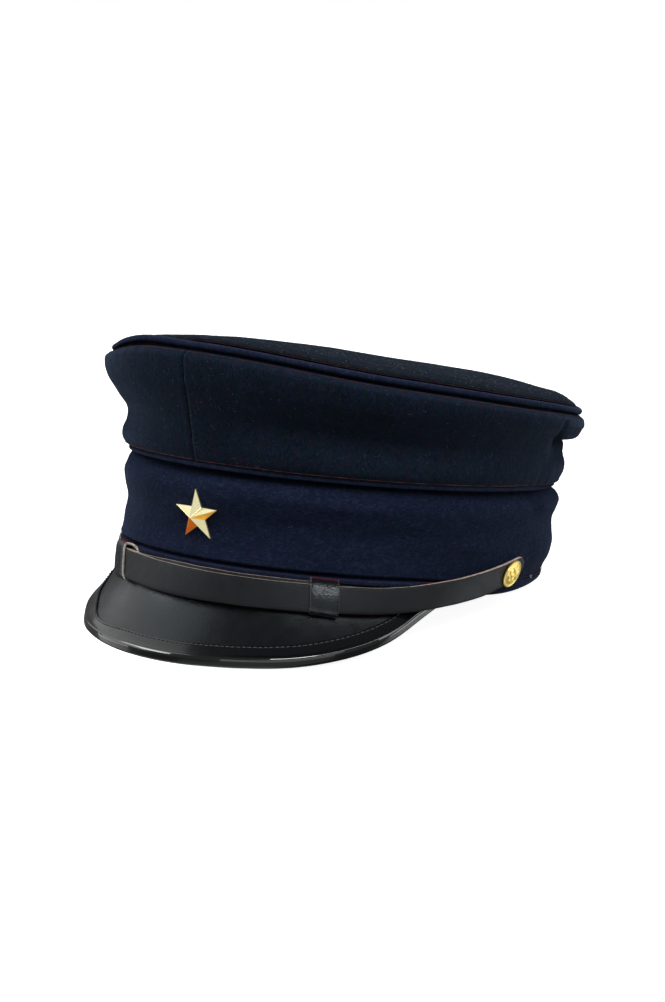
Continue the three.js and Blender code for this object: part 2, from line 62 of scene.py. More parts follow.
RIM_HEIGHT = (78.3, 7.1, 2.6)      # mean, front rise and saddle of the crown's upper edge
RIM_REACH = (10.95, 1.6, 1.05)     # the same for its reach outside the oval
FRONT_SEAM = -0.8                  # bearing of the crown's front seam
BACK_SEAM = 180.05                 # the two halves close here, counted from the front seam
SOFT_SIDE = 126                    # bearing where the crown's upper edge has gone soft and round
SUNK_SIDE = -54                    # bearing where it has sunk
TUCKS_MIDDLE = 36.5                # piping and welt are drawn in a quarter turn from here
THIN_PIPING = (-50, 40)            # bearing and reach of the piping's thinner stretch
LIFTED_PIPING = (-17, 18)          # the same of the stretch that stands up
POCKET_CREASE = (100.2, 2.0)       # the same of the upright crease in front of the level fold
POCKET = (100, 105, 132, 152)      # bearings where that fold starts, is full, is last full, ends
SEAM_RIDGE = 6.0                   # the seam allowance shows this far in from the tip's edge
TURNED_IN = ((3.3, 0.1), (3.5, 2.4))   # the wall's upper end turns in: this far, and this far up
CROWN_CLOTH = 1.9
INSIDE_STEP = 5                    # the inside of the cloth keeps one row in this many
BAND_CLOTH = 2.4
TIP_CLOTH = 1.9
TIP_DOME = 5.1
TIP_DOME_POWER = 3
TIP_DOME_LEAN = (0.15, 0.84, 2.5)  # how much higher it is in front, on the left, and its saddle
TIP_EDGE_INSET = 2.5
TIP_EDGE_LIFT = 5.4
# Sags of the tip's edge: depth, bearing, reach.
TIP_SAGS = ((3.6, SUNK_SIDE, 48), (2.9, SOFT_SIDE, 24), (0.9, -178, 42))
TIP_UNDER_SHARE = 0.975            # the tip's underside spans this share of its top
PIPING_HALF = (1.6, 1.28)        # half width and half height of the piping

HEM_DIP = (3.4, 87, 38)            # depth, bearing and reach of the hem's sag at each side
HEM_TOP = 2.9
BAND_FOOT = 3.1                    # the band's cloth runs from here
BAND_HEAD = 41.4                   # up to here
BAND_OPEN = (-80, -55, 56, 74)     # bearings, as POCKET has them, where its foot stands higher
BAND_TUCKED = (-38, -15, 100, 115)   # and where its upper edge is tucked in
FOOT_GAP = 1.3                      # more of a gap over it in front, in the shade of the band

PEAK_HALF_ANGLE = 70.2
PEAK_END = 65.5
PEAK_ASIDE = 1.2
PEAK_LENGTH = 41.2
PEAK_POWER = 2.38
PEAK_SLOPE = 60.7
PEAK_SLOPE_GAIN = 12.1
PEAK_ROOT_INSET = 2.5
PEAK_TUCK = 1.8                    # runs on up inside the hem
PEAK_ROOT_DROP = 0.42
PEAK_RIGHT_DROP = 0.11             # more of a drop on the wearer's right
# Steeper on the wearer's right: by this, past this bearing, at this much further on.
PEAK_STEEPER = (8.8, 40.9, 13)
PEAK_FRONT_STEP = 0.8              # stands further out in front
PEAK_EDGE_SHIFT = (-0.7, -0.4)     # of the edge, out and up
# Changes of the peak's length: size, bearing, reach.
PEAK_TRIMS = ((1.6, -44, 49.5), (-0.9, 18, 20), (0.5, 48, 14), (-0.9, 61, 10), (0.9, -50, 16),
              (0.9, -34, 12))
PEAK_HALF_THICKNESS = 0.7
BINDING_WIDTH = 9.6
BINDING_NARROWS = ((2.2, -24.5, 14),)   # by this, at this bearing, within this reach
BINDING_SHARE = 0.72               # and it takes up no more than this of the peak
PEAK_HIDDEN = 1.6                  # the board stops this far short of the edge, in the binding

STRAP_WIDTH = 11.5
STRAP_THICKNESS = 1.4
LAYER_STEP = 1.3
KEEPER_WALL = 0.95
KEEPER_GAP = 0.05
KEEPER_SPAN = 6.5
KEEPER_CORNER = 1.9                # radius of its rounded corners
KEEPER_RED = (46, 118)             # degrees round its section that red dye shows between
CENTER_KEEPER = 37.4
SIDE_KEEPER = -27.2
BUTTON_BEARING = 89.3
KNOT_BEARING = 103.0
KNOT_HEIGHT = 3.4

STAR_BEARING = 1.2
STAR_RADIUS = 11.35
STAR_NOTCH = 0.4
STAR_RELIEF = 5.1
STAR_EDGE = 0.6
STAR_MIDDLE = (2.2, -HALF_LENGTH - 0.15, 21.55)
STAR_LEAN = -11.5
# These facets take orange copies of the gilt: a painted reflection and painted glow on the one metal.
STAR_PAINTED_DEEP_FACETS = (5, 6)
STAR_PAINTED_WARM_FACETS = (2,)
STAR_TURN = -0.8                   # turned this much in its own plane
STAR_BEVEL = (0.09, 12)            # width, and the angle from which an edge has one
STAR_SWELL = (1.5, 17, 29, 13)     # the band swells under it: size, reach, height and its reach

# ---- fineness of the meshes: stations round the cap, and rows -------------------------------
CROWN_GRID = (481, 86)
TIP_GRID = (540, 86)
PIPING_STATIONS = 1300
PIPING_ROWS = (19, 6)              # on the rounded outside, then inside
WELT_STATIONS = 1100
BAND_GRID = (900, 58)
HEM_STATIONS = 1100
PEAK_GRID = (361, 56)
PEAK_STEPS = 90                    # of its profile
BINDING_STATIONS = 541
STRAP_STATIONS = (320, 22)         # along the straight, then round the end
KEEPER_GRID = (84, 29)             # round the strap, then along it
BUTTON_GRID = (128, 46)
THREAD_SIDES = 5

# Columns of the two wall tables, after the first.
WALL_COLUMNS = {"front": 1, "quarter": 2, "side": 3, "fold": 4, "rear": 5, "back": 6}

# Crown wall, outside (+) or inside (-) a straight line from the seam (level 0) to the rim (1).
CROWN_WALL = [
    # level, front, quarter, side, fold, rear, back
    (0.00, 0.9, 1.2, 0.8, 2.0, 0.4, 0.2),
    (0.06, 1.6, 2.4, 1.2, 2.0, 0.9, 0.8),
    (0.16, 1.8, 1.7, 1.4, 2.1, 1.3, 1.2),
    (0.30, 1.7, -1.5, 0.4, 0.9, 0.6, 0.2),
    (0.42, 1.8, -2.4, -0.6, -1.5, -0.6, -0.8),
    (0.54, 2.3, 0.0, -0.4, -2.7, -1.6, -0.8),
    (0.64, 2.8, 1.8, 0.4, -4.4, -1.3, 0.1),
    (0.68, 3.0, 2.6, 0.8, -4.2, -0.2, 0.6),
    (0.71, 3.1, 3.1, 1.1, -0.3, 0.8, 1.0),
    (0.79, 3.0, 3.7, 1.9, 2.9, 1.9, 1.8),
    (0.88, 2.6, 3.6, 2.3, 2.6, 2.1, 2.0),
    (0.95, 1.7, 2.5, 1.7, 1.5, 1.3, 1.3),
    (1.00, -0.2, -0.2, -0.2, -0.2, -0.2, -0.2),
]

# Band: height over its lower edge, then its distance outside the oval.
BAND_WALL = [
    # height, front, quarter, side, fold, rear, back
    (3.1, -0.5, -0.5, -1.9, -2.0, -1.8, -1.5),
    (3.8, 0.4, 0.4, -1.3, -1.4, -1.2, -0.9),
    (5.5, 0.4, 0.3, -0.7, -0.8, -0.7, -0.5),
    (10.0, -0.7, -0.4, 0.3, 1.2, -0.1, -0.1),
    (16.0, -1.1, -0.7, 0.9, 2.0, 0.8, 0.2),
    (21.0, -0.8, -0.9, 0.9, 1.3, 0.8, 0.4),
    (27.0, 0.2, 1.0, 0.8, 0.9, 0.7, 0.8),
    (32.0, 0.7, 2.2, 1.0, 2.4, 1.8, 1.4),
    (36.0, 0.1, 0.7, 0.2, 2.6, 1.4, 0.7),
    (38.4, -1.2, -0.4, -1.2, 1.2, -0.4, -1.0),
    (39.8, -2.6, -1.4, -2.6, -1.2, -2.2, -2.4),
    (41.4, -3.4, -3.2, -3.4, -3.0, -3.2, -3.3),
]

# How far the real rim stands over or under the plain formula for it: bearing, lift.
RIM_LIFT = [
    (-180, 0.0), (-130, 0.0), (-90, -0.3), (-60, -0.9), (-45, -1.3), (-35, -1.4), (-25, -0.1),
    (-15, 0.9), (-5, 0.85), (5, 0.6), (15, 0.3), (25, -0.2), (35, -0.6), (45, -0.6), (55, -0.1),
    (65, 0.4), (75, 0.65), (85, 0.8), (95, 0.8), (105, 0.6), (118, 0.5), (140, 0.2), (180, 0.0),
]

# Bearings that the columns stand for, on the wearer's right (-) and left (+).
WALL_BEARINGS = [(-180, "back"), (-90, "side"), (-45, "quarter"), (0, "front"), (45, "quarter"),
                 (90, "side"), (98, "side"), (106, "fold"), (138, "fold"), (156, "rear"),
                 (180, "back")]

# The strap's run, from the wearer's right (-) to their left (+).
STRAP_RUN = [
    # bearing, height, standoff from the oval, lean of its face, width
    (-101, 11.8, 1.2, -17, 11.5),
    (-90, 7.4, 1.3, -17, 11.5),
    (-80, 3.6, 1.2, -12, 11.5),
    (-70, 0.6, 0.9, -5, 11.5),
    (-60, -2.0, 0.5, 1, 11.6),
    (-50, -3.7, 0.2, 4, 11.8),
    (-40, -4.6, 0.2, 5, 12.1),
    (-30, -5.1, 0.5, 6, 12.0),
    (-20, -5.4, 1.0, 7, 12.2),
    (-8, -6.0, 1.7, 9, 12.4),
    (2, -6.3, 1.9, 9, 12.4),
    (12, -6.3, 1.9, 9, 12.1),
    (24, -6.1, 1.9, 9, 11.7),
    (38, -5.8, 1.9, 9, 11.3),
    (50, -5.0, 2.5, 9, 10.8),
    (60, -3.0, 3.6, 5, 10.6),
    (70, -0.1, 3.0, -5, 10.8),
    (80, 3.1, 1.8, -13, 11.6),
    (90, 7.4, 1.4, -17, 11.4),
    (100, 11.8, 1.3, -17, 11.5),
]

# ---- camera, fitted to the view that the object is shown from -------------------------------
VIEW_AZIMUTH = 36.474
VIEW_ELEVATION = 13.439
VIEW_DISTANCE = 1.0178
VIEW_TARGET = (-0.000514, 0.000548, 0.041757)
VIEW_LENS = 82.245
SENSOR = 36.0
FLOOR_REACH = 8.0                  # metres
WALL_HEIGHT = 4.0                  # metres
FLOOR_GLOW = 0.92
WORLD_GLOW = 0.11


# ---- numbers --------------------------------------------------------------------------------
def radians(degrees):
    return np.asarray(degrees, float) * math.pi / 180


def smooth(low, high, value):
    share = np.clip((np.asarray(value, float) - low) / (high - low), 0, 1)
    return share * share * (3 - 2 * share)


def bump(middle, reach, value):
    """1 at middle, falling to nothing at reach on both sides."""
    away = np.clip(np.abs(np.asarray(value, float) - middle) / reach, 0, 1)
    return np.cos(away * math.pi / 2) ** 2


def stretch(start, full, last, end, value):
    """1 from full to last, easing to nothing at start and at end."""
    return smooth(start, full, value) * smooth(end, last, value)


def unit(vectors):
    """Vectors brought to length 1, along the last axis."""
    return vectors / (np.linalg.norm(vectors, axis=-1, keepdims=True) + 1e-12)


def run_along(line):
    """How far each point of a line is from its start; also for many lines at once."""
    steps = np.linalg.norm(np.diff(line, axis=-2), axis=-1)
    return np.concatenate([np.zeros_like(steps[..., :1]), np.cumsum(steps, axis=-1)], axis=-1)


def full_turn(count):
    """Angles of evenly spread places round a circle, in radians."""
    return np.linspace(0, 2 * math.pi, count, endpoint=False)


def spline(stops, values, at):
    """A smooth curve through values (one row a stop) at the sorted places stops."""
    stops, values, at = np.asarray(stops, float), np.asarray(values, float), np.asarray(at, float)
    slopes = np.gradient(values, stops, axis=0)
    i = np.clip(np.searchsorted(stops, at, side="right") - 1, 0, len(stops) - 2)
    width = stops[i + 1] - stops[i]
    t = (at - stops[i]) / width
    t, width = (x.reshape(x.shape + (1,) * (values.ndim - 1)) for x in (t, width))
    keep, leave = 2 * t ** 3 - 3 * t ** 2 + 1, t ** 3 - 2 * t ** 2 + t
    reach, enter = 3 * t ** 2 - 2 * t ** 3, t ** 3 - t ** 2
    return (keep * values[i] + leave * width * slopes[i]
            + reach * values[i + 1] + enter * width * slopes[i + 1])


def noise(points, cell, seed):
    """Smooth random numbers from -1 to 1 at points, with features about cell wide."""
    spots = np.asarray(points, float) / cell + seed * 17.31
    base = np.floor(spots).astype(np.int64)
    part = spots - base
    weight = part * part * (3 - 2 * part)
    total = np.zeros(spots.shape[:-1])
    for corner in itertools.product((0, 1), repeat=3):
        key = base + corner
        code = (key[..., 0] * 73856093) ^ (key[..., 1] * 19349663) ^ (key[..., 2] * 83492791)
        code = ((code ^ (code >> 13)) * 1274126177 + seed * 97) & 0xFFFFFFF
        code = (code ^ (code >> 11)) * 668265263 & 0xFFFFFFF
        value = (code >> 8 & 0xFFFF) / 32767.5 - 1
        total += value * np.prod(np.where(corner, weight, 1 - weight), axis=-1)
    return total


# ---- the head frame ---------------------------------------------------------------------------
WELT_MIDDLE = SEAM_HEIGHT - GAP     # the CAD welt ring is even about this height


def to_row_turn(points):
    c, s = math.cos(math.radians(TILT)), math.sin(math.radians(TILT))
    x, y, z = np.moveaxis(np.asarray(points, float), -1, 0)
    return np.stack([x, y * c + z * s, -y * s + z * c], axis=-1)


WELT_LOW, WELT_HIGH = (np.array(corner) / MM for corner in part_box("crown_welt"))
SHIFT = (WELT_LOW + WELT_HIGH) / 2 - to_row_turn((0, 0, WELT_MIDDLE))


def place(points):
    """Points of the head frame in the row frame, in metres."""
    return (to_row_turn(points) + SHIFT) * MM


def oval(bearing, standoff, height):
    """A point standing off the seam oval; the arguments broadcast."""
    angle, out, up = np.broadcast_arrays(radians(bearing), standoff, height)
    return np.stack([(HALF_WIDTH + out) * np.sin(angle),
                     -(HALF_LENGTH + out) * np.cos(angle), up.astype(float)], axis=-1)


def oval_normal(bearing):
    angle = radians(bearing)
    x, y = np.sin(angle) / HALF_WIDTH, -np.cos(angle) / HALF_LENGTH
    size = np.hypot(x, y)
    return np.stack([x / size, y / size, np.zeros_like(x)], axis=-1)


def rim(parts, bearing):
    mean, front, saddle = parts
    angle = radians(bearing)
    return mean + front * np.cos(angle) + saddle * np.cos(2 * angle)


def wrap(bearing):
    return (np.asarray(bearing, float) + 180) % 360 - 180


def all_round(count):
    """Bearings of evenly spread stations round the cap."""
    return np.linspace(-180, 180, count, endpoint=False)


def bumps(parts, bearing):
    """The sum of bumps round the cap; parts are rows of size, bearing, reach."""
    return sum(size * bump(0, reach, wrap(bearing - middle)) for size, middle, reach in parts)


def rim_lift(bearing):
    table = np.array(RIM_LIFT, float)
    return spline(table[:, 0], table[:, 1], wrap(bearing))


def rim_height(bearing):
    return rim(RIM_HEIGHT, bearing) + rim_lift(bearing)


def rim_reach(bearing):
    return rim(RIM_REACH, bearing)


def wall_columns(table, bearing):
    """The rows of a wall table at each bearing, eased between the named bearings."""
    at = np.array([entry[0] for entry in WALL_BEARINGS], float)
    column = np.array([WALL_COLUMNS[entry[1]] for entry in WALL_BEARINGS])
    values = np.array(table, float)
    here = wrap(bearing)
    high = np.clip(np.searchsorted(at, here), 1, len(at) - 1)
    share = smooth(0, 1, (here - at[high - 1]) / (at[high] - at[high - 1]))
    return values[:, column[high - 1]] * (1 - share) + values[:, column[high]] * share


def hem_bottom(bearing):
    depth, middle, reach = HEM_DIP
    return -depth * bump(middle, reach, np.abs(wrap(bearing)))


# ---- meshes -----------------------------------------------------------------------------------
def add_object(name, data):
    obj = bpy.data.objects.new(name, data)
    bpy.context.collection.objects.link(obj)
    return obj


def make_mesh(name, points, faces, materials, which=None):
    """A mesh object from row-frame points and faces (an array of quads or triangles)."""
    mesh = bpy.data.meshes.new(name)
    faces = np.asarray(faces, np.int32)
    count, size = faces.shape
    mesh.vertices.add(len(points))
    mesh.vertices.foreach_set("co", np.asarray(points, np.float32).ravel())
    mesh.loops.add(count * size)
    mesh.loops.foreach_set("vertex_index", faces.ravel())
    mesh.polygons.add(count)
    mesh.polygons.foreach_set("loop_start", np.arange(0, count * size, size, dtype=np.int32))
    for material in materials:
        mesh.materials.append(material)
    if which is not None:
        mesh.polygons.foreach_set("material_index", np.asarray(which, np.int32))
    mesh.polygons.foreach_set("use_smooth", np.ones(count, bool))
    mesh.update(calc_edges=True)
    mesh.validate()
    return add_object(name, mesh)


def tube_faces(rows, columns, close_rows):
    """Quads of a closed section (columns) swept through rows, its ends closed by strips."""
    r = np.arange(rows if close_rows else rows - 1)[:, None]
    c = np.arange(columns)[None, :]
    near, far = r * columns, (r + 1) % rows * columns
    quads = np.stack([near + c, near + (c + 1) % columns, far + (c + 1) % columns, far + c],
                     axis=-1).reshape(-1, 4)
    if close_rows:
        return quads
    ends = []
    half = columns // 2
    for start, flip in ((0, False), ((rows - 1) * columns, True)):
        for i in range(half - 1):
            quad = [start + i, start + columns - 1 - i, start + columns - 2 - i, start + i + 1]
            ends.append(quad[::-1] if flip else quad)
    return np.vstack([quads, ends])


def face_out(obj):
    """Turns the faces outwards."""
    sheet = bmesh.new()
    sheet.from_mesh(obj.data)
    bmesh.ops.recalc_face_normals(sheet, faces=sheet.faces)
    sheet.to_mesh(obj.data)
    sheet.free()


def swept(name, sections, materials, closed=True, which=None):
    """A solid through sections: an array (rows, columns, 3) of head-frame points."""
    rows, columns = sections.shape[:2]
    faces = tube_faces(rows, columns, closed)
    kinds = None
    if which is not None:
        spans = rows if closed else rows - 1
        kinds = np.broadcast_to(which, (rows, columns))[:spans].ravel()
        kinds = np.concatenate([kinds, np.full(len(faces) - len(kinds), kinds[0])])
    obj = make_mesh(name, place(sections).reshape(-1, 3), faces, materials, kinds)
    face_out(obj)
    return obj


def finish_piece(obj, slot, *nodes):
    """Every piece rides on the one body, and stands for the CAD nodes that it replaces."""
    if nodes:
        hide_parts(*nodes)
    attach(obj, "root")
    return obj


# ---- materials --------------------------------------------------------------------------------
NAP_TURN = 36.0                        # degrees that the cloth's nap is brushed off its length


class Finish:
    """A node material, built up by small calls."""

    def __init__(self, name):
        self.material = bpy.data.materials.new(name)
        self.material.use_nodes = True
        self.tree = self.material.node_tree
        self.shader = self.tree.nodes["Principled BSDF"]
        self.place = self.add("ShaderNodeTexCoord").outputs["Object"]

    def add(self, kind, inputs=None, **settings):
        node = self.tree.nodes.new(kind)
        for key, value in settings.items():
            setattr(node, key, value)
        for key, value in (inputs or {}).items():
            self.give(node.inputs[key], value)
        return node

    def give(self, socket, value):
        if isinstance(value, bpy.types.NodeSocket):
            self.tree.links.new(value, socket)
        else:
            socket.default_value = value

    def set(self, **values):
        for key, value in values.items():
            self.give(self.shader.inputs[key.replace("_", " ")], value)

    def noise(self, size, detail, rough=0.55, stretch=None, warp=0.0):
        """Noise with features of size millimetres; stretch multiplies its size along X, Y, Z,
        turned to lie with the nap."""
        spot = self.place
        if stretch:
            spot = self.add("ShaderNodeMapping", {"Vector": spot, "Scale": tuple(stretch),
                                                  "Rotation": (0, 0, math.radians(NAP_TURN))},
                            vector_type="TEXTURE").outputs[0]
        node = self.add("ShaderNodeTexNoise", {"Vector": spot, "Scale": 1 / (size * MM),
                                               "Detail": detail, "Roughness": rough,
                                               "Distortion": warp})
        return node.outputs["Fac"]

    def grain(self, size):
        """Cells about size millimetres wide."""
        inputs = {"Vector": self.place, "Scale": 1 / (size * MM)}
        return self.add("ShaderNodeTexVoronoi", inputs).outputs["Distance"]

    def ramp(self, value, *stops):
        """A grey or coloured ramp: stops are (place, colour or grey)."""
        node = self.add("ShaderNodeValToRGB", {"Fac": value})
        ramp = node.color_ramp
        while len(ramp.elements) < len(stops):
            ramp.elements.new(0.5)
        for element, (at, colour) in zip(ramp.elements, stops):
            element.position = at
            element.color = (colour,) * 3 + (1,) if np.isscalar(colour) else tuple(colour) + (1,)
        return node.outputs["Color"]

    def mix(self, share, first, second):
        node = self.add("ShaderNodeMix", data_type="RGBA")
        self.give(node.inputs["Factor"], share)
        for socket, value in ((node.inputs[6], first), (node.inputs[7], second)):
            if not isinstance(value, bpy.types.NodeSocket):
                value = tuple(value) + (1,)
            self.give(socket, value)
        return node.outputs[2]

    def math(self, operation, first, second, third=0.0):
        parts = {0: first, 1: second, 2: third}
        return self.add("ShaderNodeMath", parts, operation=operation).outputs[0]

    def bump(self, height, depth, strength, under=None):
        """A bump of depth millimetres; under is the normal from a coarser bump."""
        inputs = {"Height": height, "Distance": depth * MM, "Strength": strength}
        if under is not None:
            inputs["Normal"] = under
        return self.add("ShaderNodeBump", inputs).outputs["Normal"]


def wool(name, deep, pale, green, red, streak, nap, sheen):
    """Milled wool: four close colours mottled together, streaky nap and paler stray fibres."""
    paint = Finish(name)
    drift = tuple(part ** 1.6 for part in streak)
    broad = paint.ramp(paint.noise(12, 4.0, 0.6, drift), (0.36, 0.0), (0.66, 1.0))
    fine = paint.ramp(paint.noise(1.15, 4.0, 0.75, streak, 0.5), (0.41, 0.0), (0.61, 1.0))
    share = paint.math("MULTIPLY_ADD", broad, 0.3, paint.math("MULTIPLY", fine, 0.7))
    colour = paint.mix(share, deep, pale)
    patches = paint.ramp(paint.noise(3.2, 5.0, 0.75), (0.46, 0.0), (0.57, 0.9))
    colour = paint.mix(patches, colour, green)
    specks = paint.ramp(paint.noise(2.6, 3.0, 0.65), (0.53, 0.0), (0.66, 0.8))
    colour = paint.mix(specks, colour, red)
    hairs = paint.ramp(paint.noise(0.62, 2.0, 0.6, streak), (0.64, 0.0), (0.76, 0.7))
    colour = paint.mix(hairs, colour, tuple(2.3 * part for part in pale))
    paint.set(Base_Color=colour, Roughness=0.95, Specular_IOR_Level=0.04)
    paint.set(Sheen_Weight=sheen, Sheen_Roughness=0.35)
    paint.shader.inputs["Sheen Tint"].default_value = (0.45, 0.62, 1.0, 1)
    soft = paint.bump(paint.noise(2.4, 3.0, 0.6), 0.5, 0.45)
    paint.set(Normal=paint.bump(paint.noise(0.6, 3.0, 0.7, streak, 0.6), nap, 0.7, soft))
    return paint.material


COOL = (0.86, 0.96, 1.0, 1.0)          # the cold cast of black-dyed leather's shine


def leather(name, base, rough, grain, depth, wear, shine, coat=0.0, coat_rough=0.3, varnish=1.5):
    """Smooth dark leather: fine grain, uneven polish, faint scratches.  varnish is the index of
    its coat."""
    paint = Finish(name)
    cloud = paint.noise(9, 3.0)
    pores = paint.grain(grain)
    scratch = paint.noise(1.4, 2.0, 0.7, (9.0, 9.0, 0.5), 0.4)
    tone = paint.mix(paint.ramp(cloud, (0.3, 0.0), (0.7, 1.0)), tuple(0.8 * b for b in base),
                     tuple(1.25 * b for b in base))
    marks = paint.ramp(scratch, (0.69, 0.0), (0.78, wear))
    paint.set(Base_Color=paint.mix(marks, tone, tuple(4.5 * b + 0.01 for b in base)))
    polish = paint.ramp(paint.noise(5.5, 4.0, 0.6), (0.3, rough * 0.86), (0.72, rough * 1.16))
    paint.set(Roughness=polish, Coat_Weight=coat, Coat_Roughness=coat_rough)
    paint.set(Specular_IOR_Level=shine, Specular_Tint=COOL, Coat_IOR=varnish)
    soft = paint.bump(paint.noise(7, 2.0), 0.12, 0.35)
    paint.set(Normal=paint.bump(pores, depth, 0.6, soft))
    return paint.material


def cut_edge(name, pale, deep):
    """The bare cut edge of leather: pale brown fibres with dye left in places."""
    paint = Finish(name)
    dye = paint.ramp(paint.noise(3.2, 3.0, 0.65), (0.36, 0.0), (0.62, 1.0))
    grain = paint.ramp(paint.noise(0.5, 2.0, 0.6), (0.3, 0.0), (0.7, 1.0))
    colour = paint.mix(dye, deep, pale)
    paint.set(Base_Color=paint.mix(grain, colour, tuple(1.25 * p for p in pale)), Roughness=0.75)
    paint.set(Specular_IOR_Level=0.3)
    paint.set(Normal=paint.bump(paint.noise(0.4, 2.0), 0.1, 0.6))
    return paint.material


def thread(name, colour, rough=0.7):
    paint = Finish(name)
    twist = paint.noise(0.35, 2.0, 0.6)
    dark = tuple(0.6 * part for part in colour)
    paint.set(Base_Color=paint.mix(paint.ramp(twist, (0.35, 0.0), (0.65, 1.0)), dark, colour))
    paint.set(Roughness=rough, Normal=paint.bump(twist, 0.08, 0.6))
    return paint.material


def gilt(name, bright, deep, rough, wave, painted_glow):
    """Gilt metal, uneven in polish; painted_glow is painted light: an emission that brightens the metal
    though it is no lamp.
    """
    paint = Finish(name)
    cloud = paint.noise(3.0, 3.0, 0.6)
    colour = paint.mix(paint.ramp(cloud, (0.3, 0.0), (0.7, 1.0)), deep, bright)
    paint.set(Base_Color=colour, Metallic=1.0)
    paint.set(Roughness=paint.ramp(paint.noise(1.6, 3.0), (0.3, rough * 0.8), (0.75, rough * 1.3)))
    paint.set(Normal=paint.bump(paint.noise(wave, 2.0), 0.03, 0.3))
    # Painted glow: emission that lights the gilt up beyond what the lamps give.
    paint.set(Emission_Color=tuple(painted_glow) + (1.0,), Emission_Strength=1.0)
    return paint.material


# deep, pale, green and red colours, streaks along X, Y, Z, depth of the nap, sheen
CROWN_WOOL = wool("crown_wool", (0.0040, 0.0070, 0.0168), (0.0168, 0.0265, 0.0540),
                  (0.0068, 0.0170, 0.0235), (0.0210, 0.0140, 0.0275), (0.7, 0.7, 1.5), 0.26, 0.20)
# The top's copy of the crown wool, painted darker and greyer than the wall's: painted shade on the
# upper face.
TIP_SHADED_WOOL = wool("tip_wool_painted_shade", (0.0030, 0.0048, 0.0085), (0.0150, 0.0200, 0.0310),
                (0.0070, 0.0140, 0.0165), (0.0190, 0.0120, 0.0175), (0.9, 4.2, 1.0), 0.50, 0.07)
BAND_WOOL = wool("band_wool", (0.0052, 0.0082, 0.0255), (0.0205, 0.0295, 0.0660),
                 (0.0075, 0.0140, 0.0320), (0.0160, 0.0160, 0.0370), (1.9, 1.9, 0.65), 0.30, 0.16)
PIPING_WOOL = wool("piping_wool", (0.0078, 0.0120, 0.0300), (0.0270, 0.0370, 0.0800),
                   (0.0105, 0.0175, 0.0410), (0.0220, 0.0200, 0.0460), (0.8, 0.8, 1.2), 0.22, 0.16)
# colour, roughness, width and depth of the grain, wear, shine
PEAK_LEATHER = leather("peak_leather", (0.0017, 0.0024, 0.0036), 0.31, 0.9, 0.045, 0.35, 0.62)
PATENT = leather("patent_leather", (0.0016, 0.0019, 0.0024), 0.28, 2.2, 0.012, 0.1, 0.22,
                 coat=0.85, coat_rough=0.14)
PATENT_RIDGE = leather("patent_ridge", (0.0030, 0.0034, 0.0037), 0.24, 2.2, 0.012, 0.1, 0.1,
                       coat=1.0, coat_rough=0.05, varnish=2.1)
STRAP_LEATHER = leather("strap_leather", (0.0080, 0.0087, 0.0108), 0.50, 0.8, 0.05, 0.3, 0.33)
KEEPER_LEATHER = leather("keeper_leather", (0.0040, 0.0052, 0.0080), 0.22, 0.7, 0.19, 0.3, 0.60)
RED_DYE = leather("red_dye", (0.055, 0.010, 0.013), 0.5, 0.6, 0.1, 0.1, 0.3)

# pale fibres, dyed fibres
CUT_EDGE = cut_edge("cut_edge", (0.50, 0.40, 0.34), (0.17, 0.11, 0.09))
# The strap's lower cut edge painted near black: painted shade, the light falling from above.
PAINTED_SHADE_EDGE = cut_edge("painted_shade_edge", (0.030, 0.016, 0.015), (0.010, 0.008, 0.009))
KEEPER_EDGE = cut_edge("keeper_edge", (0.56, 0.52, 0.46), (0.035, 0.035, 0.038))
# colour, roughness
PEAK_THREAD = thread("peak_thread", (0.085, 0.088, 0.095), 0.55)
SEAM_THREAD = thread("seam_thread", (0.085, 0.011, 0.017))
PALE_THREAD = thread("pale_thread", (0.42, 0.36, 0.33))
LINT = thread("lint", (0.26, 0.30, 0.31), 0.9)
RED_FLUFF = thread("red_fluff", (0.45, 0.03, 0.05), 0.9)
# bright and deep colours, roughness, width of its waves, painted glow (emission standing in for light)
STAR_GILT = gilt("star_gilt", (0.98, 0.94, 0.62), (0.95, 0.87, 0.48), 0.20, 2.5, (0.10, 0.085, 0.035))
# Orange copies of the star's gilt for a few facets: painted reflection, with a stronger painted glow.
STAR_PAINTED_DEEP_GILT = gilt("star_painted_deep_gilt", (1.0, 0.42, 0.10), (0.90, 0.30, 0.05), 0.35, 2.5,
                      (0.32, 0.060, 0.004))
STAR_PAINTED_WARM_GILT = gilt("star_painted_warm_gilt", (1.0, 0.68, 0.16), (0.95, 0.45, 0.12), 0.35, 2.5,
                      (0.34, 0.16, 0.012))
BUTTON_GILT = gilt("button_gilt", (0.98, 0.82, 0.34), (0.94, 0.72, 0.22), 0.36, 1.2,
                   (0.17, 0.12, 0.022))


# ---- crown ------------------------------------------------------------------------------------
CROWN_FOOT = SEAM_HEIGHT + 1.9


def crown_surface(bearing, levels):
    """Standoff and height of the crown's outer face: arrays (bearings, levels)."""
    columns = wall_columns(CROWN_WALL, bearing)
    stops = [row[0] for row in CROWN_WALL]
    offset = spline(stops, columns, levels).T
    head = rim_height(bearing)[:, None]
    height = CROWN_FOOT + (head - CROWN_FOOT) * levels[None, :]
    return rim_reach(bearing)[:, None] * levels[None, :] + offset, height


def on_line(along):
    """Points on one line, to sample noise along it."""
    return np.stack([along, along * 0, along * 0], axis=-1)


def relief(points, parts):
    """The sum of (cell, size, seed) noises on points, in millimetres."""
    total = np.zeros(points.shape[:-1])
    for cell, size, seed in parts:
        total += size * noise(points, cell, seed)
    return total


def seam_puckers(along, away, pitch, depth, reach, seed):
    """Small gathers that die out away from a seam; along and away are millimetres."""
    spots = on_line(along)
    phase = 2 * math.pi * along / pitch + 1.6 * noise(spots, 3 * pitch, seed)
    size = 0.6 + 0.4 * noise(spots, 5 * pitch, seed + 1)
    return depth * size * np.cos(phase) * np.exp(-away / reach)


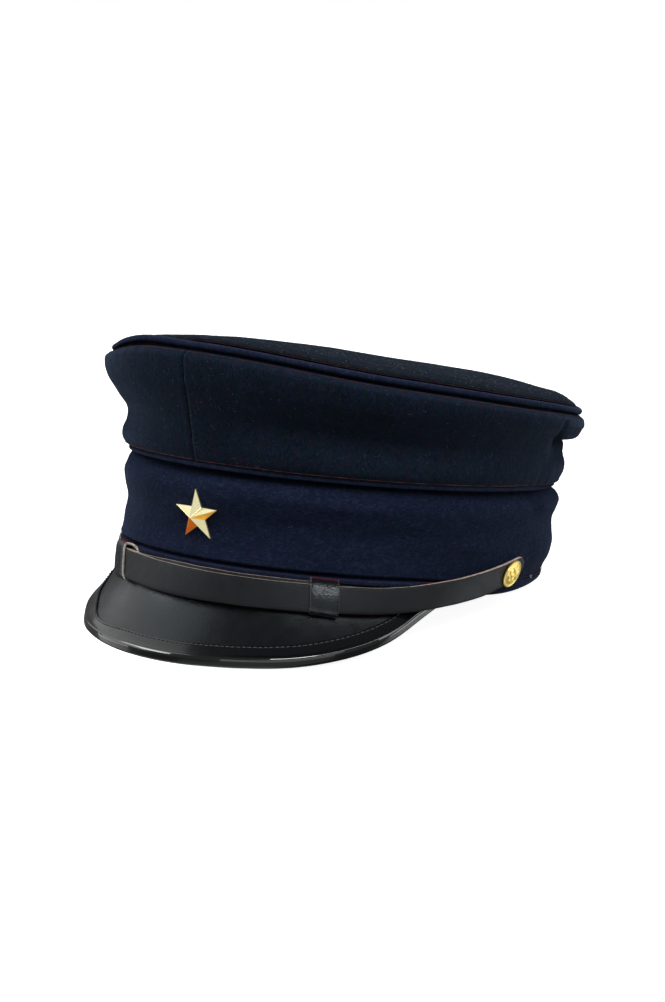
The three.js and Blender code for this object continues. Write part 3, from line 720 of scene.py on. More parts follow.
def line_spots(bearing):
    """Points that stand for places along a seam, to sample noise at."""
    return on_line(HALF_LENGTH * radians(bearing))


def side_share(bearing, reach):
    """1 a quarter turn either way from TUCKS_MIDDLE, 0 further off."""
    return bump(0, reach, np.abs(np.abs(wrap(bearing - TUCKS_MIDDLE)) - 90))


def crown_side(name, node, sign):
    """One half of the crown's wall, its ends turned in at the front and back seams."""
    edge = math.degrees(GAP / 3 / HALF_WIDTH)
    stations, rows = CROWN_GRID
    fan = np.linspace(0, 1, stations)
    fan = fan - 0.09 * np.sin(2 * math.pi * fan)         # closer stations at the seams
    bearing = sign * (edge + (BACK_SEAM - edge) * fan) + FRONT_SEAM
    levels = np.linspace(0, 1, rows)
    standoff, height = crown_surface(bearing, levels)
    flat = oval(bearing[:, None], standoff, height)
    along = HALF_LENGTH * radians(np.abs(bearing))[:, None] * np.ones_like(height)
    low, high = height - CROWN_FOOT, rim_height(bearing)[:, None] - height
    free = smooth(0, 5, low) * smooth(0, 5, high)
    standoff = standoff + free * relief(flat, [(40, 0.45, 3), (16, 0.20, 4), (6, 0.07, 5)])
    standoff += seam_puckers(along, low, pitch=7.5, depth=0.20, reach=4.0, seed=6)
    standoff += seam_puckers(along, high, pitch=8.5, depth=0.14, reach=3.0, seed=8)
    gap = np.minimum(fan, 1 - fan)[:, None] * math.pi * HALF_LENGTH
    standoff -= 0.8 * np.exp(-gap / 0.42)                # the seam's narrow groove
    standoff += 0.16 * np.exp(-((gap - 2.0) / 1.3) ** 2)  # and the cloth turned in beside it
    soft = bump(SOFT_SIDE, 28, bearing)[:, None]
    standoff -= 0.7 * np.exp(-low / 0.3) + (1.0 + 0.9 * soft) * np.exp(-high / (0.3 + 0.9 * soft))
    height = height - 0.7 * soft * smooth(0.8, 1, levels)
    crease = bump(*POCKET_CREASE, bearing)[:, None]
    standoff -= crease * stretch(0.62, 0.70, 0.86, 0.97, levels)
    height = height - 2.1 * stretch(*POCKET, bearing)[:, None] * bump(0.715, 0.075, levels)
    wander = 0.30 * noise(on_line(levels * 70), 16, 11)   # the seam wanders a little
    bearing = bearing[:, None] + wander * np.exp(-gap / 8)
    outer = oval(bearing, standoff, height)
    inner = oval(bearing, standoff - CROWN_CLOTH, height)[:, ::-INSIDE_STEP]
    reach, head = rim_reach(bearing[:, -1:]), rim_height(bearing[:, -1:])
    under_tip = tip_place(bearing[:, -1:], TIP_UNDER_SHARE)[..., 2] - head - 0.5
    turned = [oval(bearing[:, -1:], reach - into, head + rise)
              for into, rise in (*TURNED_IN, (4.8, under_tip))]
    section = np.concatenate([outer, *turned, inner], axis=1)
    obj = swept(name, section, [CROWN_WOOL], closed=False)
    finish_piece(obj, "crown_wool", node)
    return obj, outer


def tip_place(bearing, share):
    """Head-frame points of the top's smooth face; share is 0 in the middle and 1 at the edge."""
    edge = oval(bearing, rim_reach(bearing) - TIP_EDGE_INSET, 0.0)
    angle = radians(bearing)
    mean, front, saddle = RIM_HEIGHT
    base = mean + front * share * np.cos(angle) + saddle * share ** 2 * np.cos(2 * angle)
    base = base + (rim_lift(bearing) - bumps(TIP_SAGS, bearing)) * share ** 3 + TIP_EDGE_LIFT
    high_front, high_left, high_saddle = TIP_DOME_LEAN
    dome = TIP_DOME * (1 - share ** TIP_DOME_POWER)
    dome = dome * (1 + share * (high_front * np.cos(angle) + high_left * np.sin(angle)))
    dome = dome + high_saddle * share * (1 - share) * np.cos(2 * angle)
    dome = dome - 1.5 * bump(-14, 20, bearing) * smooth(0.6, 0.92, share)
    dome = dome - 1.35 * bump(0, 50, wrap(bearing - 146)) * bump(0.68, 0.40, share)
    return np.stack([edge[..., 0] * share, edge[..., 1] * share, base + dome], axis=-1)


def crown_tip():
    """The domed top, with a soft ridge where the seam allowance lies under its edge."""
    stations, rows = TIP_GRID
    bearing = all_round(stations)[:, None]
    share = (1 - (1 - np.linspace(0.0003, 1, rows)) ** 1.5)[None, :]     # closer at the edge
    top = tip_place(bearing + 0 * share, share + 0 * bearing)
    away = (1 - share) * HALF_LENGTH + 0 * bearing
    along = HALF_LENGTH * radians(bearing) + 0 * share
    lift = smooth(0, 12, away) * relief(top, [(46, 0.35, 21), (18, 0.22, 22), (6.5, 0.08, 23)])
    lift += 0.25 * bump(SEAM_RIDGE, 3.5, away)
    lift += (0.9 + 1.1 * bump(SOFT_SIDE, 42, bearing)) * (1 - np.exp(-away / 1.6))
    lift += smooth(0, 1.5, away) * seam_puckers(along, away, pitch=8.0, depth=0.16, reach=4.0, seed=24)
    lift -= 0.5 * np.exp(-away / 0.5)                    # its edge is rolled over
    top[..., 2] += lift
    under = top[:, ::-INSIDE_STEP] * (TIP_UNDER_SHARE, TIP_UNDER_SHARE, 1.0) - (0, 0, TIP_CLOTH)
    obj = swept("crown_tip_cloth", np.concatenate([top, under], axis=1), [TIP_SHADED_WOOL])
    finish_piece(obj, "crown_wool", "crown_tip")
    return obj, top


def piping():
    """The corded piping between wall and top, gathered a little every couple of millimetres."""
    bearing = all_round(PIPING_STATIONS)
    turn = np.linspace(-0.75, 1.2, PIPING_ROWS[0]) * math.pi / 2
    inside = np.linspace(1.45, 3.0, PIPING_ROWS[1]) * math.pi / 2
    spots = line_spots(bearing)
    phase = 2 * math.pi * spots[:, 0] / 2.3 + 2.4 * noise(spots, 9, 31)
    swell = 0.035 * np.cos(phase) * (0.5 + 0.5 * noise(spots, 12, 34))
    swell = 1 + swell + 0.045 * noise(spots, 14, 32) + 0.03 * noise(spots, 3.5, 33)
    around = np.concatenate([turn, inside])
    depth = np.concatenate([np.ones_like(turn), np.full_like(inside, 0.8)])
    half_width, half_height = PIPING_HALF
    tuck = side_share(bearing, 32)[:, None]
    thin = bump(*THIN_PIPING, bearing)[:, None]
    thick = bump(SOFT_SIDE, 26, bearing)[:, None]
    squarish = lambda part: np.sign(part) * np.abs(part) ** (0.8 + 0.3 * thick)
    out = swell[:, None] * depth * half_width * squarish(np.cos(around))
    up = swell[:, None] * depth * half_height * squarish(np.sin(around))
    up = up * (1 - 0.20 * thin + 0.28 * thick)
    out = rim_reach(bearing)[:, None] - half_width + 0.1 - 1.0 * tuck + 0.5 * thick + out
    up = rim_height(bearing)[:, None] + 2.6 - 0.8 * tuck - 0.45 * thin - 0.75 * thick + up
    up = up + 0.55 * bump(*LIFTED_PIPING, bearing)[:, None]
    obj = swept("top_piping_cord", oval(bearing[:, None], out, up), [PIPING_WOOL])
    return finish_piece(obj, "piping_wool", "top_piping")


# Section of the welt: out from the seam and up.
WELT_SECTION = np.array([(0.0, -0.75), (0.22, -0.65), (0.34, -0.35), (0.36, 0.1), (0.28, 0.6),
                         (0.0, 1.2), (-1.2, 1.3), (-1.8, 0.3), (-1.6, -0.7), (-0.6, -0.85)])


def welt():
    """The narrow welt, a folded strip that shows under the crown's lower edge."""
    bearing = all_round(WELT_STATIONS)
    spots = line_spots(bearing)
    swell = (1 + 0.10 * noise(spots, 2.6, 41) + 0.08 * noise(spots, 11, 42))[:, None]
    tuck = (0.9 - 0.5 * smooth(60, 110, wrap(bearing))) * side_share(bearing, 26) - 0.3
    tuck = tuck[:, None]
    wave = 0.12 * noise(spots, 20, 43)[:, None]
    out = WELT_SECTION[:, 0] * swell + 0.3 - tuck + wave
    up = WELT_SECTION[:, 1] * swell + SEAM_HEIGHT + 1.0
    obj = swept("crown_welt_strip", oval(bearing[:, None], out, up), [PIPING_WOOL])
    return finish_piece(obj, "piping_wool", "crown_welt")


# ---- band and hem -----------------------------------------------------------------------------
def band():
    """The band, its cloth soft enough to lie in low level folds."""
    stations, rows = BAND_GRID
    bearing = all_round(stations)
    stops = np.array([row[0] for row in BAND_WALL])
    height = np.concatenate([[BAND_FOOT, 3.25, 3.5], np.linspace(3.8, BAND_HEAD, rows)])
    standoff = spline(stops, wall_columns(BAND_WALL, bearing), height).T
    open_front = stretch(*BAND_OPEN, bearing)
    up = height + FOOT_GAP * open_front[:, None] * np.exp((BAND_FOOT - height) / 2.2)
    flat = oval(bearing[:, None], standoff, up)
    along = HALF_LENGTH * radians(bearing)[:, None] * np.ones_like(up)
    standoff = standoff - 1.3 * stretch(*BAND_TUCKED, bearing)[:, None] * smooth(34.5, 38.5, up)
    middle = stretch(3.5, 9, 34, 40, up)
    folds = relief(flat * (0.22, 0.22, 1.0), [(9.0, 0.55, 51), (4.6, 0.25, 52)])
    standoff = standoff + middle * (folds + relief(flat, [(24, 0.35, 53), (7, 0.10, 54)]))
    swell, aside, level, reach = STAR_SWELL
    standoff += swell * bump(STAR_BEARING, aside, bearing)[:, None] * bump(level, reach, up)
    standoff += seam_puckers(along, up - BAND_FOOT, pitch=11.0, depth=0.10, reach=3.5, seed=55)
    standoff += seam_puckers(along, BAND_HEAD - up, pitch=13.0, depth=0.12, reach=4.0, seed=57)
    ragged = 0.22 * noise(line_spots(bearing), 2.2, 59)[:, None] * smooth(6, BAND_FOOT, up)
    outer = oval(bearing[:, None], standoff, up + ragged)
    inner = oval(bearing[:, None], standoff - BAND_CLOTH, up)[:, ::-INSIDE_STEP]
    obj = swept("band_cloth", np.concatenate([outer, inner], axis=1), [BAND_WOOL])
    finish_piece(obj, "band_wool", "band")
    return obj, outer


# Section of the hem: distance out from the band's foot, then its share of the hem's height.
HEM_SECTION = [(-3.1, 0.06), (-2.5, 0.0), (-1.7, 0.02), (-0.9, 0.10), (-0.3, 0.22), (0.02, 0.36),
               (0.12, 0.46), (0.04, 0.54), (0.14, 0.62), (0.18, 0.74), (0.10, 0.85), (-0.2, 0.93),
               (-0.9, 0.98), (-2.2, 1.0), (-2.4, 1.9), (-2.9, 1.9), (-3.2, 0.97)]


def hem_surface(bearing):
    spots = line_spots(bearing)
    foot = wall_columns(BAND_WALL, bearing)[1][:, None]
    low = hem_bottom(bearing)[:, None]
    wave = (0.15 * noise(spots, 16, 61) + 0.06 * noise(spots, 4, 62))[:, None]
    section = np.array(HEM_SECTION)
    out = section[None, :, 0] + foot + wave
    up = low + section[None, :, 1] * (HEM_TOP - low) + 0.3 * wave
    return oval(bearing[:, None], out, up)


def hem():
    """The rolled hem, a flat tuck of the band's cloth turned in at the bottom."""
    bearing = all_round(HEM_STATIONS)
    obj = swept("hem_roll", hem_surface(bearing), [PIPING_WOOL])
    return finish_piece(obj, "band_wool", "bottom_welt")


# ---- peak -------------------------------------------------------------------------------------
PROFILE_STEPS = np.linspace(0, 1, PEAK_STEPS)


def peak_profiles(bearing):
    """The peak's middle surface at each bearing: points (bearings, steps, [out, up]), and how
    far along from the root each of them is."""
    share = np.abs(bearing) / PEAK_HALF_ANGLE
    length = PEAK_LENGTH * (1 - share ** PEAK_POWER) + bumps(PEAK_TRIMS, bearing)
    more, start, further = PEAK_STEEPER
    steeper = more * (np.maximum(0, -bearing - start) / further) ** 1.5
    slope = radians(np.minimum(90, PEAK_SLOPE + PEAK_SLOPE_GAIN * share ** 2 + steeper))
    front = PEAK_FRONT_STEP * np.cos(radians(bearing))
    root = np.stack([front - PEAK_ROOT_INSET, hem_bottom(bearing + PEAK_ASIDE) - GAP], axis=-1)
    edge = np.stack([front + length * np.cos(slope), -length * np.sin(slope)], axis=-1)
    edge += PEAK_EDGE_SHIFT
    drop = PEAK_ROOT_DROP + PEAK_RIGHT_DROP * smooth(12, 38, -bearing)
    bend = root + np.stack([0.03 * length, -drop * length], axis=-1)
    t = PROFILE_STEPS[None, :, None]
    line = (1 - t) ** 2 * root[:, None] + 2 * t * (1 - t) * bend[:, None] + t ** 2 * edge[:, None]
    return line, run_along(line)


def peak_points(bearing, back, over):
    """Head-frame points of the peak: back from its edge and over its middle surface, arrays
    (bearings, columns).  Past the edge, back may be negative and runs straight on."""
    line, run = peak_profiles(bearing)
    out, up = np.empty_like(back), np.empty_like(back)
    slope_out, slope_up = np.empty_like(back), np.empty_like(back)
    for i in range(len(bearing)):
        at = run[i, -1] - back[i]
        inside = np.clip(at, 0, run[i, -1])
        out[i] = np.interp(inside, run[i], line[i, :, 0])
        up[i] = np.interp(inside, run[i], line[i, :, 1])
        grad = unit(np.gradient(line[i], axis=0))
        slope_out[i] = np.interp(inside, run[i], grad[:, 0])
        slope_up[i] = np.interp(inside, run[i], grad[:, 1])
        out[i] += (at - inside) * slope_out[i]
        up[i] += (at - inside) * slope_up[i]
    out, up = out - slope_up * over, up + slope_out * over
    base = oval(bearing[:, None] + PEAK_ASIDE, 0.0, up)
    return base + oval_normal(bearing + PEAK_ASIDE)[:, None, :] * out[..., None]


def peak_lengths(bearing):
    return peak_profiles(bearing)[1][:, -1]


def binding_width(bearing):
    width = BINDING_WIDTH - bumps(BINDING_NARROWS, bearing)
    return np.minimum(width, BINDING_SHARE * peak_lengths(bearing))


def peak_board():
    """The leather peak, from its root under the band to under the binding."""
    stations, rows = PEAK_GRID
    bearing = np.linspace(-PEAK_END, PEAK_END, stations)
    length = peak_lengths(bearing)[:, None]
    share = np.linspace(0, 1, rows)[None, :]
    back = PEAK_HIDDEN + (length + PEAK_TUCK - PEAK_HIDDEN) * share
    half = np.full_like(back, PEAK_HALF_THICKNESS)
    top = peak_points(bearing, back, half)
    wave = 0.10 * noise(top, 24, 71) + 0.035 * noise(top, 8, 72)
    top = peak_points(bearing, back, half + wave)
    under = peak_points(bearing, back[:, ::-1], -half)
    obj = swept("peak_leather", np.concatenate([top, under], axis=1), [PEAK_LEATHER], closed=False)
    return finish_piece(obj, "peak_leather", "peak")


BINDING_OUTER = 28                 # rows of its outer side; the rest lie against the board
# Section of the binding, from its sewn side over the top, round the edge and back underneath.
BINDING_SECTION = [
    # back from the edge as a share of the width, over the middle surface, 1 on the ridge
    (1.00, 0.95, 0),
    (1.00, 1.30, 0),
    (0.985, 1.48, 0),
    (0.95, 1.56, 0),
    (0.90, 1.50, 0),
    (0.82, 1.52, 0),
    (0.70, 1.55, 0),
    (0.58, 1.58, 0),
    (0.48, 1.66, 0),
    (0.41, 1.76, 0),
    (0.36, 1.84, 0),
    (0.32, 1.85, 1),
    (0.295, 1.78, 1),
    (0.28, 1.705, 1),
    (0.245, 1.53, 1),
    (0.23, 1.445, 1),
    (0.205, 1.24, 1),
    (0.175, 0.96, 0),
    (0.13, 0.54, 0),
    (0.08, 0.04, 0),
    (0.04, -0.40, 0),
    (0.015, -0.82, 0),
    (0.01, -1.10, 0),
    (0.03, -1.38, 0),
    (0.08, -1.56, 0),
    (0.16, -1.62, 0),
    (0.40, -1.55, 0),
    (0.70, -1.5, 0),
    (0.78, -1.42, 0),
    (0.78, -0.95, 0),
    (0.50, -0.95, 0),
    (0.19, -0.95, 0),
    (0.15, -0.5, 0),
    (0.15, 0.5, 0),
    (0.19, 0.95, 0),
    (0.60, 0.95, 0),
]


def binding():
    """The glossy strip folded round the edge, sewn down along its inner side."""
    bearing = np.linspace(-PEAK_END, PEAK_END, BINDING_STATIONS)
    width = binding_width(bearing)[:, None]
    table = np.array(BINDING_SECTION)
    back = table[None, :, 0] * width
    over = table[None, :, 1] * np.ones_like(back)
    flat = peak_points(bearing, back, over)
    outer = np.arange(len(table))[None, :] < BINDING_OUTER
    wave = 0.05 * noise(flat, 6, 81) + 0.07 * noise(flat, 15, 82)
    over = over + np.where(outer, wave, 0)
    obj = swept("peak_binding_strip", peak_points(bearing, back, over), [PATENT, PATENT_RIDGE],
                closed=False, which=table[:, 2].astype(int))
    return finish_piece(obj, "binding_leather", "peak_binding")


def stitches(name, ends, radius, material, slot):
    """Separate stitches, each a short bent thread from one hole to the next.  ends is an array
    (stitches, 3 points, 3) in the row frame: hole, middle, hole."""
    t = np.linspace(0, 1, 7)[None, :, None]
    first, middle, last = (ends[:, None, i] for i in range(3))
    line = (1 - t) ** 2 * first + 2 * t * (1 - t) * middle + t ** 2 * last
    return tubes(name, line, radius * (0.65 + 0.35 * np.sin(math.pi * t[0, :, 0])), 6, material, slot)


def tubes(name, lines, radius, sides, material, slot):
    """Many thin tubes as one mesh: lines is (tubes, points, 3) in metres, radius in metres a
    number or one for each point."""
    count, rings = lines.shape[:2]
    along = unit(np.gradient(lines, axis=1))
    helper = np.where(np.abs(along[..., 2:]) < 0.9, [0, 0, 1.0], [1.0, 0, 0])
    side = unit(np.cross(along, helper))
    other = np.cross(along, side)
    angle = full_turn(sides)
    spread = np.broadcast_to(np.asarray(radius, float), (count, rings))[..., None, None]
    ring = (side[:, :, None] * np.cos(angle)[:, None] + other[:, :, None] * np.sin(angle)[:, None])
    points = lines[:, :, None] + ring * spread
    r, c = np.arange(rings - 1)[:, None], np.arange(sides)[None, :]
    quad = np.stack([r * sides + c, r * sides + (c + 1) % sides,
                     (r + 1) * sides + (c + 1) % sides, (r + 1) * sides + c], axis=-1)
    quads = quad.reshape(-1, 4)
    triangles = np.concatenate([quads[:, [0, 1, 2]], quads[:, [0, 2, 3]]])
    last = (rings - 1) * sides
    caps = [[0, i + 1, i] for i in range(1, sides - 1)]
    caps += [[last, last + i, last + i + 1] for i in range(1, sides - 1)]
    block = np.vstack([triangles, caps])
    faces = (np.arange(count)[:, None, None] * rings * sides + block).reshape(-1, 3)
    obj = make_mesh(name, points.reshape(-1, 3), faces[:, ::-1], [material])
    return finish_piece(obj, slot)


def peak_stitching():
    """The row of stitches along the binding's inner side."""
    pitch, length, inset = 2.25, 1.7, 1.0
    fine = np.linspace(-PEAK_END + 13, PEAK_END - 4, 2000)
    width = binding_width(fine)
    line = peak_points(fine, (width - inset)[:, None], np.full((len(fine), 1), 1.5))[:, 0]
    run = run_along(line)
    starts = np.arange(1.0, run[-1] - 3, pitch)
    spots = on_line(starts)
    starts = starts + 0.18 * noise(spots, 1.7, 91)
    at = lambda s: np.interp(s, run, fine)
    holes = []
    for s, lift in ((0.0, 1.36), (length / 2, 2.1), (length, 1.36)):
        where = at(starts + s)
        aside = 0.12 * noise(spots, 2.1, 92 + int(s * 3))
        back = binding_width(where) - inset + aside
        holes.append(peak_points(where, back[:, None], np.full((len(where), 1), lift))[:, 0])
    ends = place(np.stack(holes, axis=1))
    return stitches("peak_stitches", ends, 0.25 * MM, PEAK_THREAD, "binding_leather")


# ---- strap and keepers ------------------------------------------------------------------------
INNER_LIFT = KEEPER_WALL + KEEPER_GAP
LAYER_PITCH = STRAP_THICKNESS + KEEPER_GAP


def strap_values(bearing):
    table = np.array(STRAP_RUN, float)
    return spline(table[:, 0], table[:, 1:], bearing)


def strap_points(bearing, over, across):
    """Points of the strap: over its back and across it from its middle, arrays (bearings, n)."""
    def middle(at):
        height, standoff = strap_values(at)[:, :2].T
        return oval(at, standoff, height)
    small = 0.5
    along = unit(middle(bearing + small) - middle(bearing - small))
    lean = radians(strap_values(bearing)[:, 2])
    out = oval_normal(bearing) * np.cos(lean)[:, None]
    out[:, 2] = np.sin(lean)
    out = unit(out - along * np.sum(out * along, axis=1)[:, None])
    up = np.cross(out, along)
    up *= np.where(up[:, 2:] < 0, -1, 1)
    return middle(bearing)[:, None] + out[:, None] * over[..., None] + up[:, None] * across[..., None]


# Section of the strap, from its lower back edge round its face and back behind it.
# The kinds are 0 the face, 1 the pale cut edge above and 2 the cut edge below, painted near black as
# painted shade.
STRAP_SECTION = [
    # side (-1 to 1), in from that side, over the back as a share of the thickness, kind
    (-1, 0.10, 0.0, 2),
    (-1, 0.00, 0.25, 2),
    (-1, 0.00, 0.60, 2),
    (-1, 0.22, 0.86, 0),
    (-1, 0.60, 0.99, 0),
    (-1, 1.60, 1.03, 0),
    (-1, 3.40, 1.05, 0),
    (0, 0.00, 1.06, 0),
    (1, 3.40, 1.05, 0),
    (1, 1.60, 1.03, 0),
    (1, 0.60, 1.02, 0),
    (1, 0.34, 0.97, 0),
    (1, 0.14, 0.84, 1),
    (1, 0.02, 0.50, 1),
    (1, 0.04, 0.18, 1),
    (1, 0.16, 0.0, 0),
    (1, 3.00, 0.0, 0),
    (0, 0.00, 0.0, 0),
    (-1, 3.00, 0.0, 0),
    (-1, 0.60, 0.0, 0),
]


def strap_solid(name, node, bearing, over, across, seed):
    """A strap through stations: over and across give its layer."""
    table = np.array(STRAP_SECTION)
    side, inset, rise = table[:, 0], table[:, 1], table[:, 2]
    full = strap_values(bearing)[:, 3] / 2
    half = full * strap_taper(bearing)
    trim = np.minimum(1, half / full)[:, None]
    width = side[None, :] * np.maximum(half[:, None] - inset[None, :] * trim, 0.02)
    lift = rise[None, :] * STRAP_THICKNESS + over[:, None]
    flat = strap_points(bearing, lift, width + across[:, None])
    ripple = 0.10 * noise(flat, 13, seed) + 0.03 * noise(flat, 4, seed + 1)
    edge = 0.10 * noise(flat, 7, seed + 2) * (np.abs(side) > 0)
    points = strap_points(bearing, lift + ripple, width + across[:, None] + edge)
    obj = swept(name, points, [STRAP_LEATHER, CUT_EDGE, PAINTED_SHADE_EDGE], closed=False,
                which=table[:, 3].astype(int))
    return finish_piece(obj, "strap_leather", node)


ROUND_END = 5.7
ROUND_SPAN = math.degrees(STRAP_WIDTH / 2 / HALF_LENGTH)


def strap_taper(bearing):
    """1 along the strap, falling to nothing in a half round at its button end."""
    left = BUTTON_BEARING + ROUND_END - np.abs(bearing)
    bite = np.clip(1 - left / ROUND_SPAN, 0, 1)
    return np.sqrt(np.maximum(0.0025, 1 - bite ** 2))


def strap_stations(blunt, side):
    """Bearings from the blunt end to the round one, closer together round its curve."""
    start = BUTTON_BEARING + ROUND_END - ROUND_SPAN
    ends = start + ROUND_SPAN * np.sin(np.linspace(0, math.pi / 2, STRAP_STATIONS[1])[1:])
    return side * np.concatenate([np.linspace(side * blunt, start, STRAP_STATIONS[0]), ends])


def layer_step(bearing):
    """How far the inner layer stands up past the outer one."""
    return LAYER_STEP * smooth(-24, 0, bearing)


def straps():
    bearing = strap_stations(SIDE_KEEPER - 1.5, 1)
    drop = smooth(CENTER_KEEPER + 3, CENTER_KEEPER + 25, bearing)
    strap_solid("strap_left_leather", "strap_left", bearing,
                (INNER_LIFT + LAYER_PITCH) * (1 - drop), 0 * drop, 101)
    bearing = strap_stations(CENTER_KEEPER + 2.2, -1)
    drop = smooth(31, 44, -bearing)
    strap_solid("strap_right_leather", "strap_right", bearing, INNER_LIFT * (1 - drop),
                layer_step(bearing), 111)


def keeper(name, node, middle, skew, slack, twist, crown, tilt, seed):
    """A loop of leather round both layers; skew turns it, slack rounds its top, twist sets its
    back further round than its face, crown swells its face and tilt sinks one side of it."""
    half = strap_values(np.array([middle], float))[0, 3] / 2
    step = float(layer_step(middle))
    low, high = 0.0, INNER_LIFT + LAYER_PITCH + STRAP_THICKNESS + KEEPER_GAP + KEEPER_WALL
    bottom = -half - KEEPER_GAP - KEEPER_WALL
    top = half + step + KEEPER_GAP + KEEPER_WALL + slack
    steps, stations = KEEPER_GRID
    angle = full_turn(steps)
    rx, ry = (high - low) / 2 - KEEPER_CORNER, (top - bottom) / 2 - KEEPER_CORNER
    soft = lambda value: np.sign(value) * np.abs(value) ** 0.18
    over = (low + high) / 2 + rx * soft(np.cos(angle)) + KEEPER_CORNER * np.cos(angle)
    across = (bottom + top) / 2 + ry * soft(np.sin(angle)) + KEEPER_CORNER * np.sin(angle)
    share = (across - (bottom + top) / 2) / ((top - bottom) / 2)
    over = over + crown * (1 - share ** 2) * smooth(low, high, over)
    lean = -skew * across / half + twist * np.maximum(0, 1 - over / high) ** 1.5 * (across > 0)
    spread = 0.5 * np.sin(np.linspace(-0.5, 0.5, stations) * math.pi)
    lip = 0.16 * (1 - (2 * np.abs(spread)) ** 10) - 0.10 * bump(0, 0.3, spread)
    wall = np.concatenate([lip, np.full(len(spread), -KEEPER_WALL)])
    spread = np.concatenate([spread, spread[::-1]])
    ring = middle + KEEPER_SPAN * spread
    sections = []
    for i in range(steps):
        offset_over = over[i] + math.cos(angle[i]) * wall
        offset_across = across[i] + math.sin(angle[i]) * wall - tilt * spread
        sections.append(strap_points(ring + lean[i], offset_over[:, None],
                                     offset_across[:, None])[:, 0])
    sections = np.stack(sections)
    sections = sections + 0.08 * noise(sections, 5, seed)[..., None]
    kinds = np.zeros((steps, len(spread)), int)
    upper = (np.degrees(angle) > KEEPER_RED[0]) & (np.degrees(angle) < KEEPER_RED[1])
    kinds[upper, :len(lip)] = 2
    kinds[:, [0, len(lip) - 2, len(lip) - 1, -1]] = 1    # the cut edges
    obj = swept(name, sections, [KEEPER_LEATHER, KEEPER_EDGE, RED_DYE], which=kinds)
    return finish_piece(obj, "strap_leather", node)


# ---- metalwork --------------------------------------------------------------------------------
def strap_frame(bearing):
    """Place and directions of the strap's face: (middle, along its width up, out of it)."""
    at = np.array([bearing], float)
    zero = np.zeros((1, 1))
    middle = strap_points(at, zero, zero)[0, 0]
    out = strap_points(at, zero + 1, zero)[0, 0] - middle
    up = strap_points(at, zero, zero + 1)[0, 0] - middle
    return middle, up, out


def stand_on(obj, middle, up, out):
    """Moves a mesh made looking along +Z, in millimetres, to a place of the head frame."""
    across = np.cross(up, out)
    local = np.array([v.co[:] for v in obj.data.vertices])
    points = middle + local[:, :1] * across + local[:, 1:2] * np.cross(out, across) + local[:, 2:] * out
    obj.data.vertices.foreach_set("co", place(points).astype(np.float32).ravel())
    obj.data.update()


BUTTON_FINE = 13                   # the profile is finely stepped up to this row
# Profile of the button from its middle outwards: radius, height.
BUTTON_PROFILE = [(0.0, 1.75), (1.2, 1.73), (2.4, 1.64), (3.4, 1.48), (4.2, 1.27), (4.85, 1.05),
                  (5.1, 0.90), (5.25, 0.86), (5.4, 1.0), (5.6, 1.16), (5.85, 1.14), (6.04, 0.95),
                  (6.12, 0.65), (6.08, 0.4), (5.9, 0.2), (5.4, 0.05), (4.6, 0.0), (0.0, 0.0)]


def button_emblem(x, y):
    """A plain rosette of five petals with leaves between them, as a height in millimetres."""
    radius, angle = np.hypot(x, y), np.arctan2(x, y)
    petal = np.cos(5 * angle) * 0.5 + 0.5
    reach = 2.0 + 1.5 * petal ** 0.7
    flower = smooth(reach + 0.25, reach - 0.35, radius) * (0.25 + 0.35 * petal)
    vein = bump(0, 0.16, np.sin(2.5 * angle)) * smooth(3.2, 2.0, radius) * smooth(0.5, 1.0, radius)
    leaves = bump(3.75, 0.75, radius) * (0.5 - 0.5 * np.cos(10 * angle)) ** 2 * 0.28
    heart = 0.35 * bump(0, 0.95, radius)
    beads = 0.12 * bump(5.55, 0.35, radius) * (0.5 + 0.5 * np.cos(44 * angle))
    return flower - 0.16 * vein + leaves + heart + beads


def button(name, node, side):
    count, rings = BUTTON_GRID
    profile = np.array(BUTTON_PROFILE)
    run = run_along(profile)
    top = np.linspace(0.02, run[BUTTON_FINE], rings)
    line = np.stack([np.interp(top, run, profile[:, i]) for i in (0, 1)], axis=-1)
    line = np.vstack([line, profile[BUTTON_FINE + 1:-1], [[0.03, 0.0]]])
    angle = full_turn(count)[:, None]
    x, y = line[None, :, 0] * np.sin(angle), line[None, :, 0] * np.cos(angle)
    face = np.arange(len(line)) < rings - 4              # the emblem isn't on the side
    z = line[None, :, 1] + np.where(face, button_emblem(x, y), 0)
    points = np.stack([x, y, z], axis=-1)
    faces = tube_faces(count, len(line), True)
    obj = make_mesh(name, points.reshape(-1, 3), faces, [BUTTON_GILT])
    middle, up, out = strap_frame(side * BUTTON_BEARING)
    stand_on(obj, middle + out * (STRAP_THICKNESS + 0.12), up, out)
    face_out(obj)
    return finish_piece(obj, "gilt_metal", node)


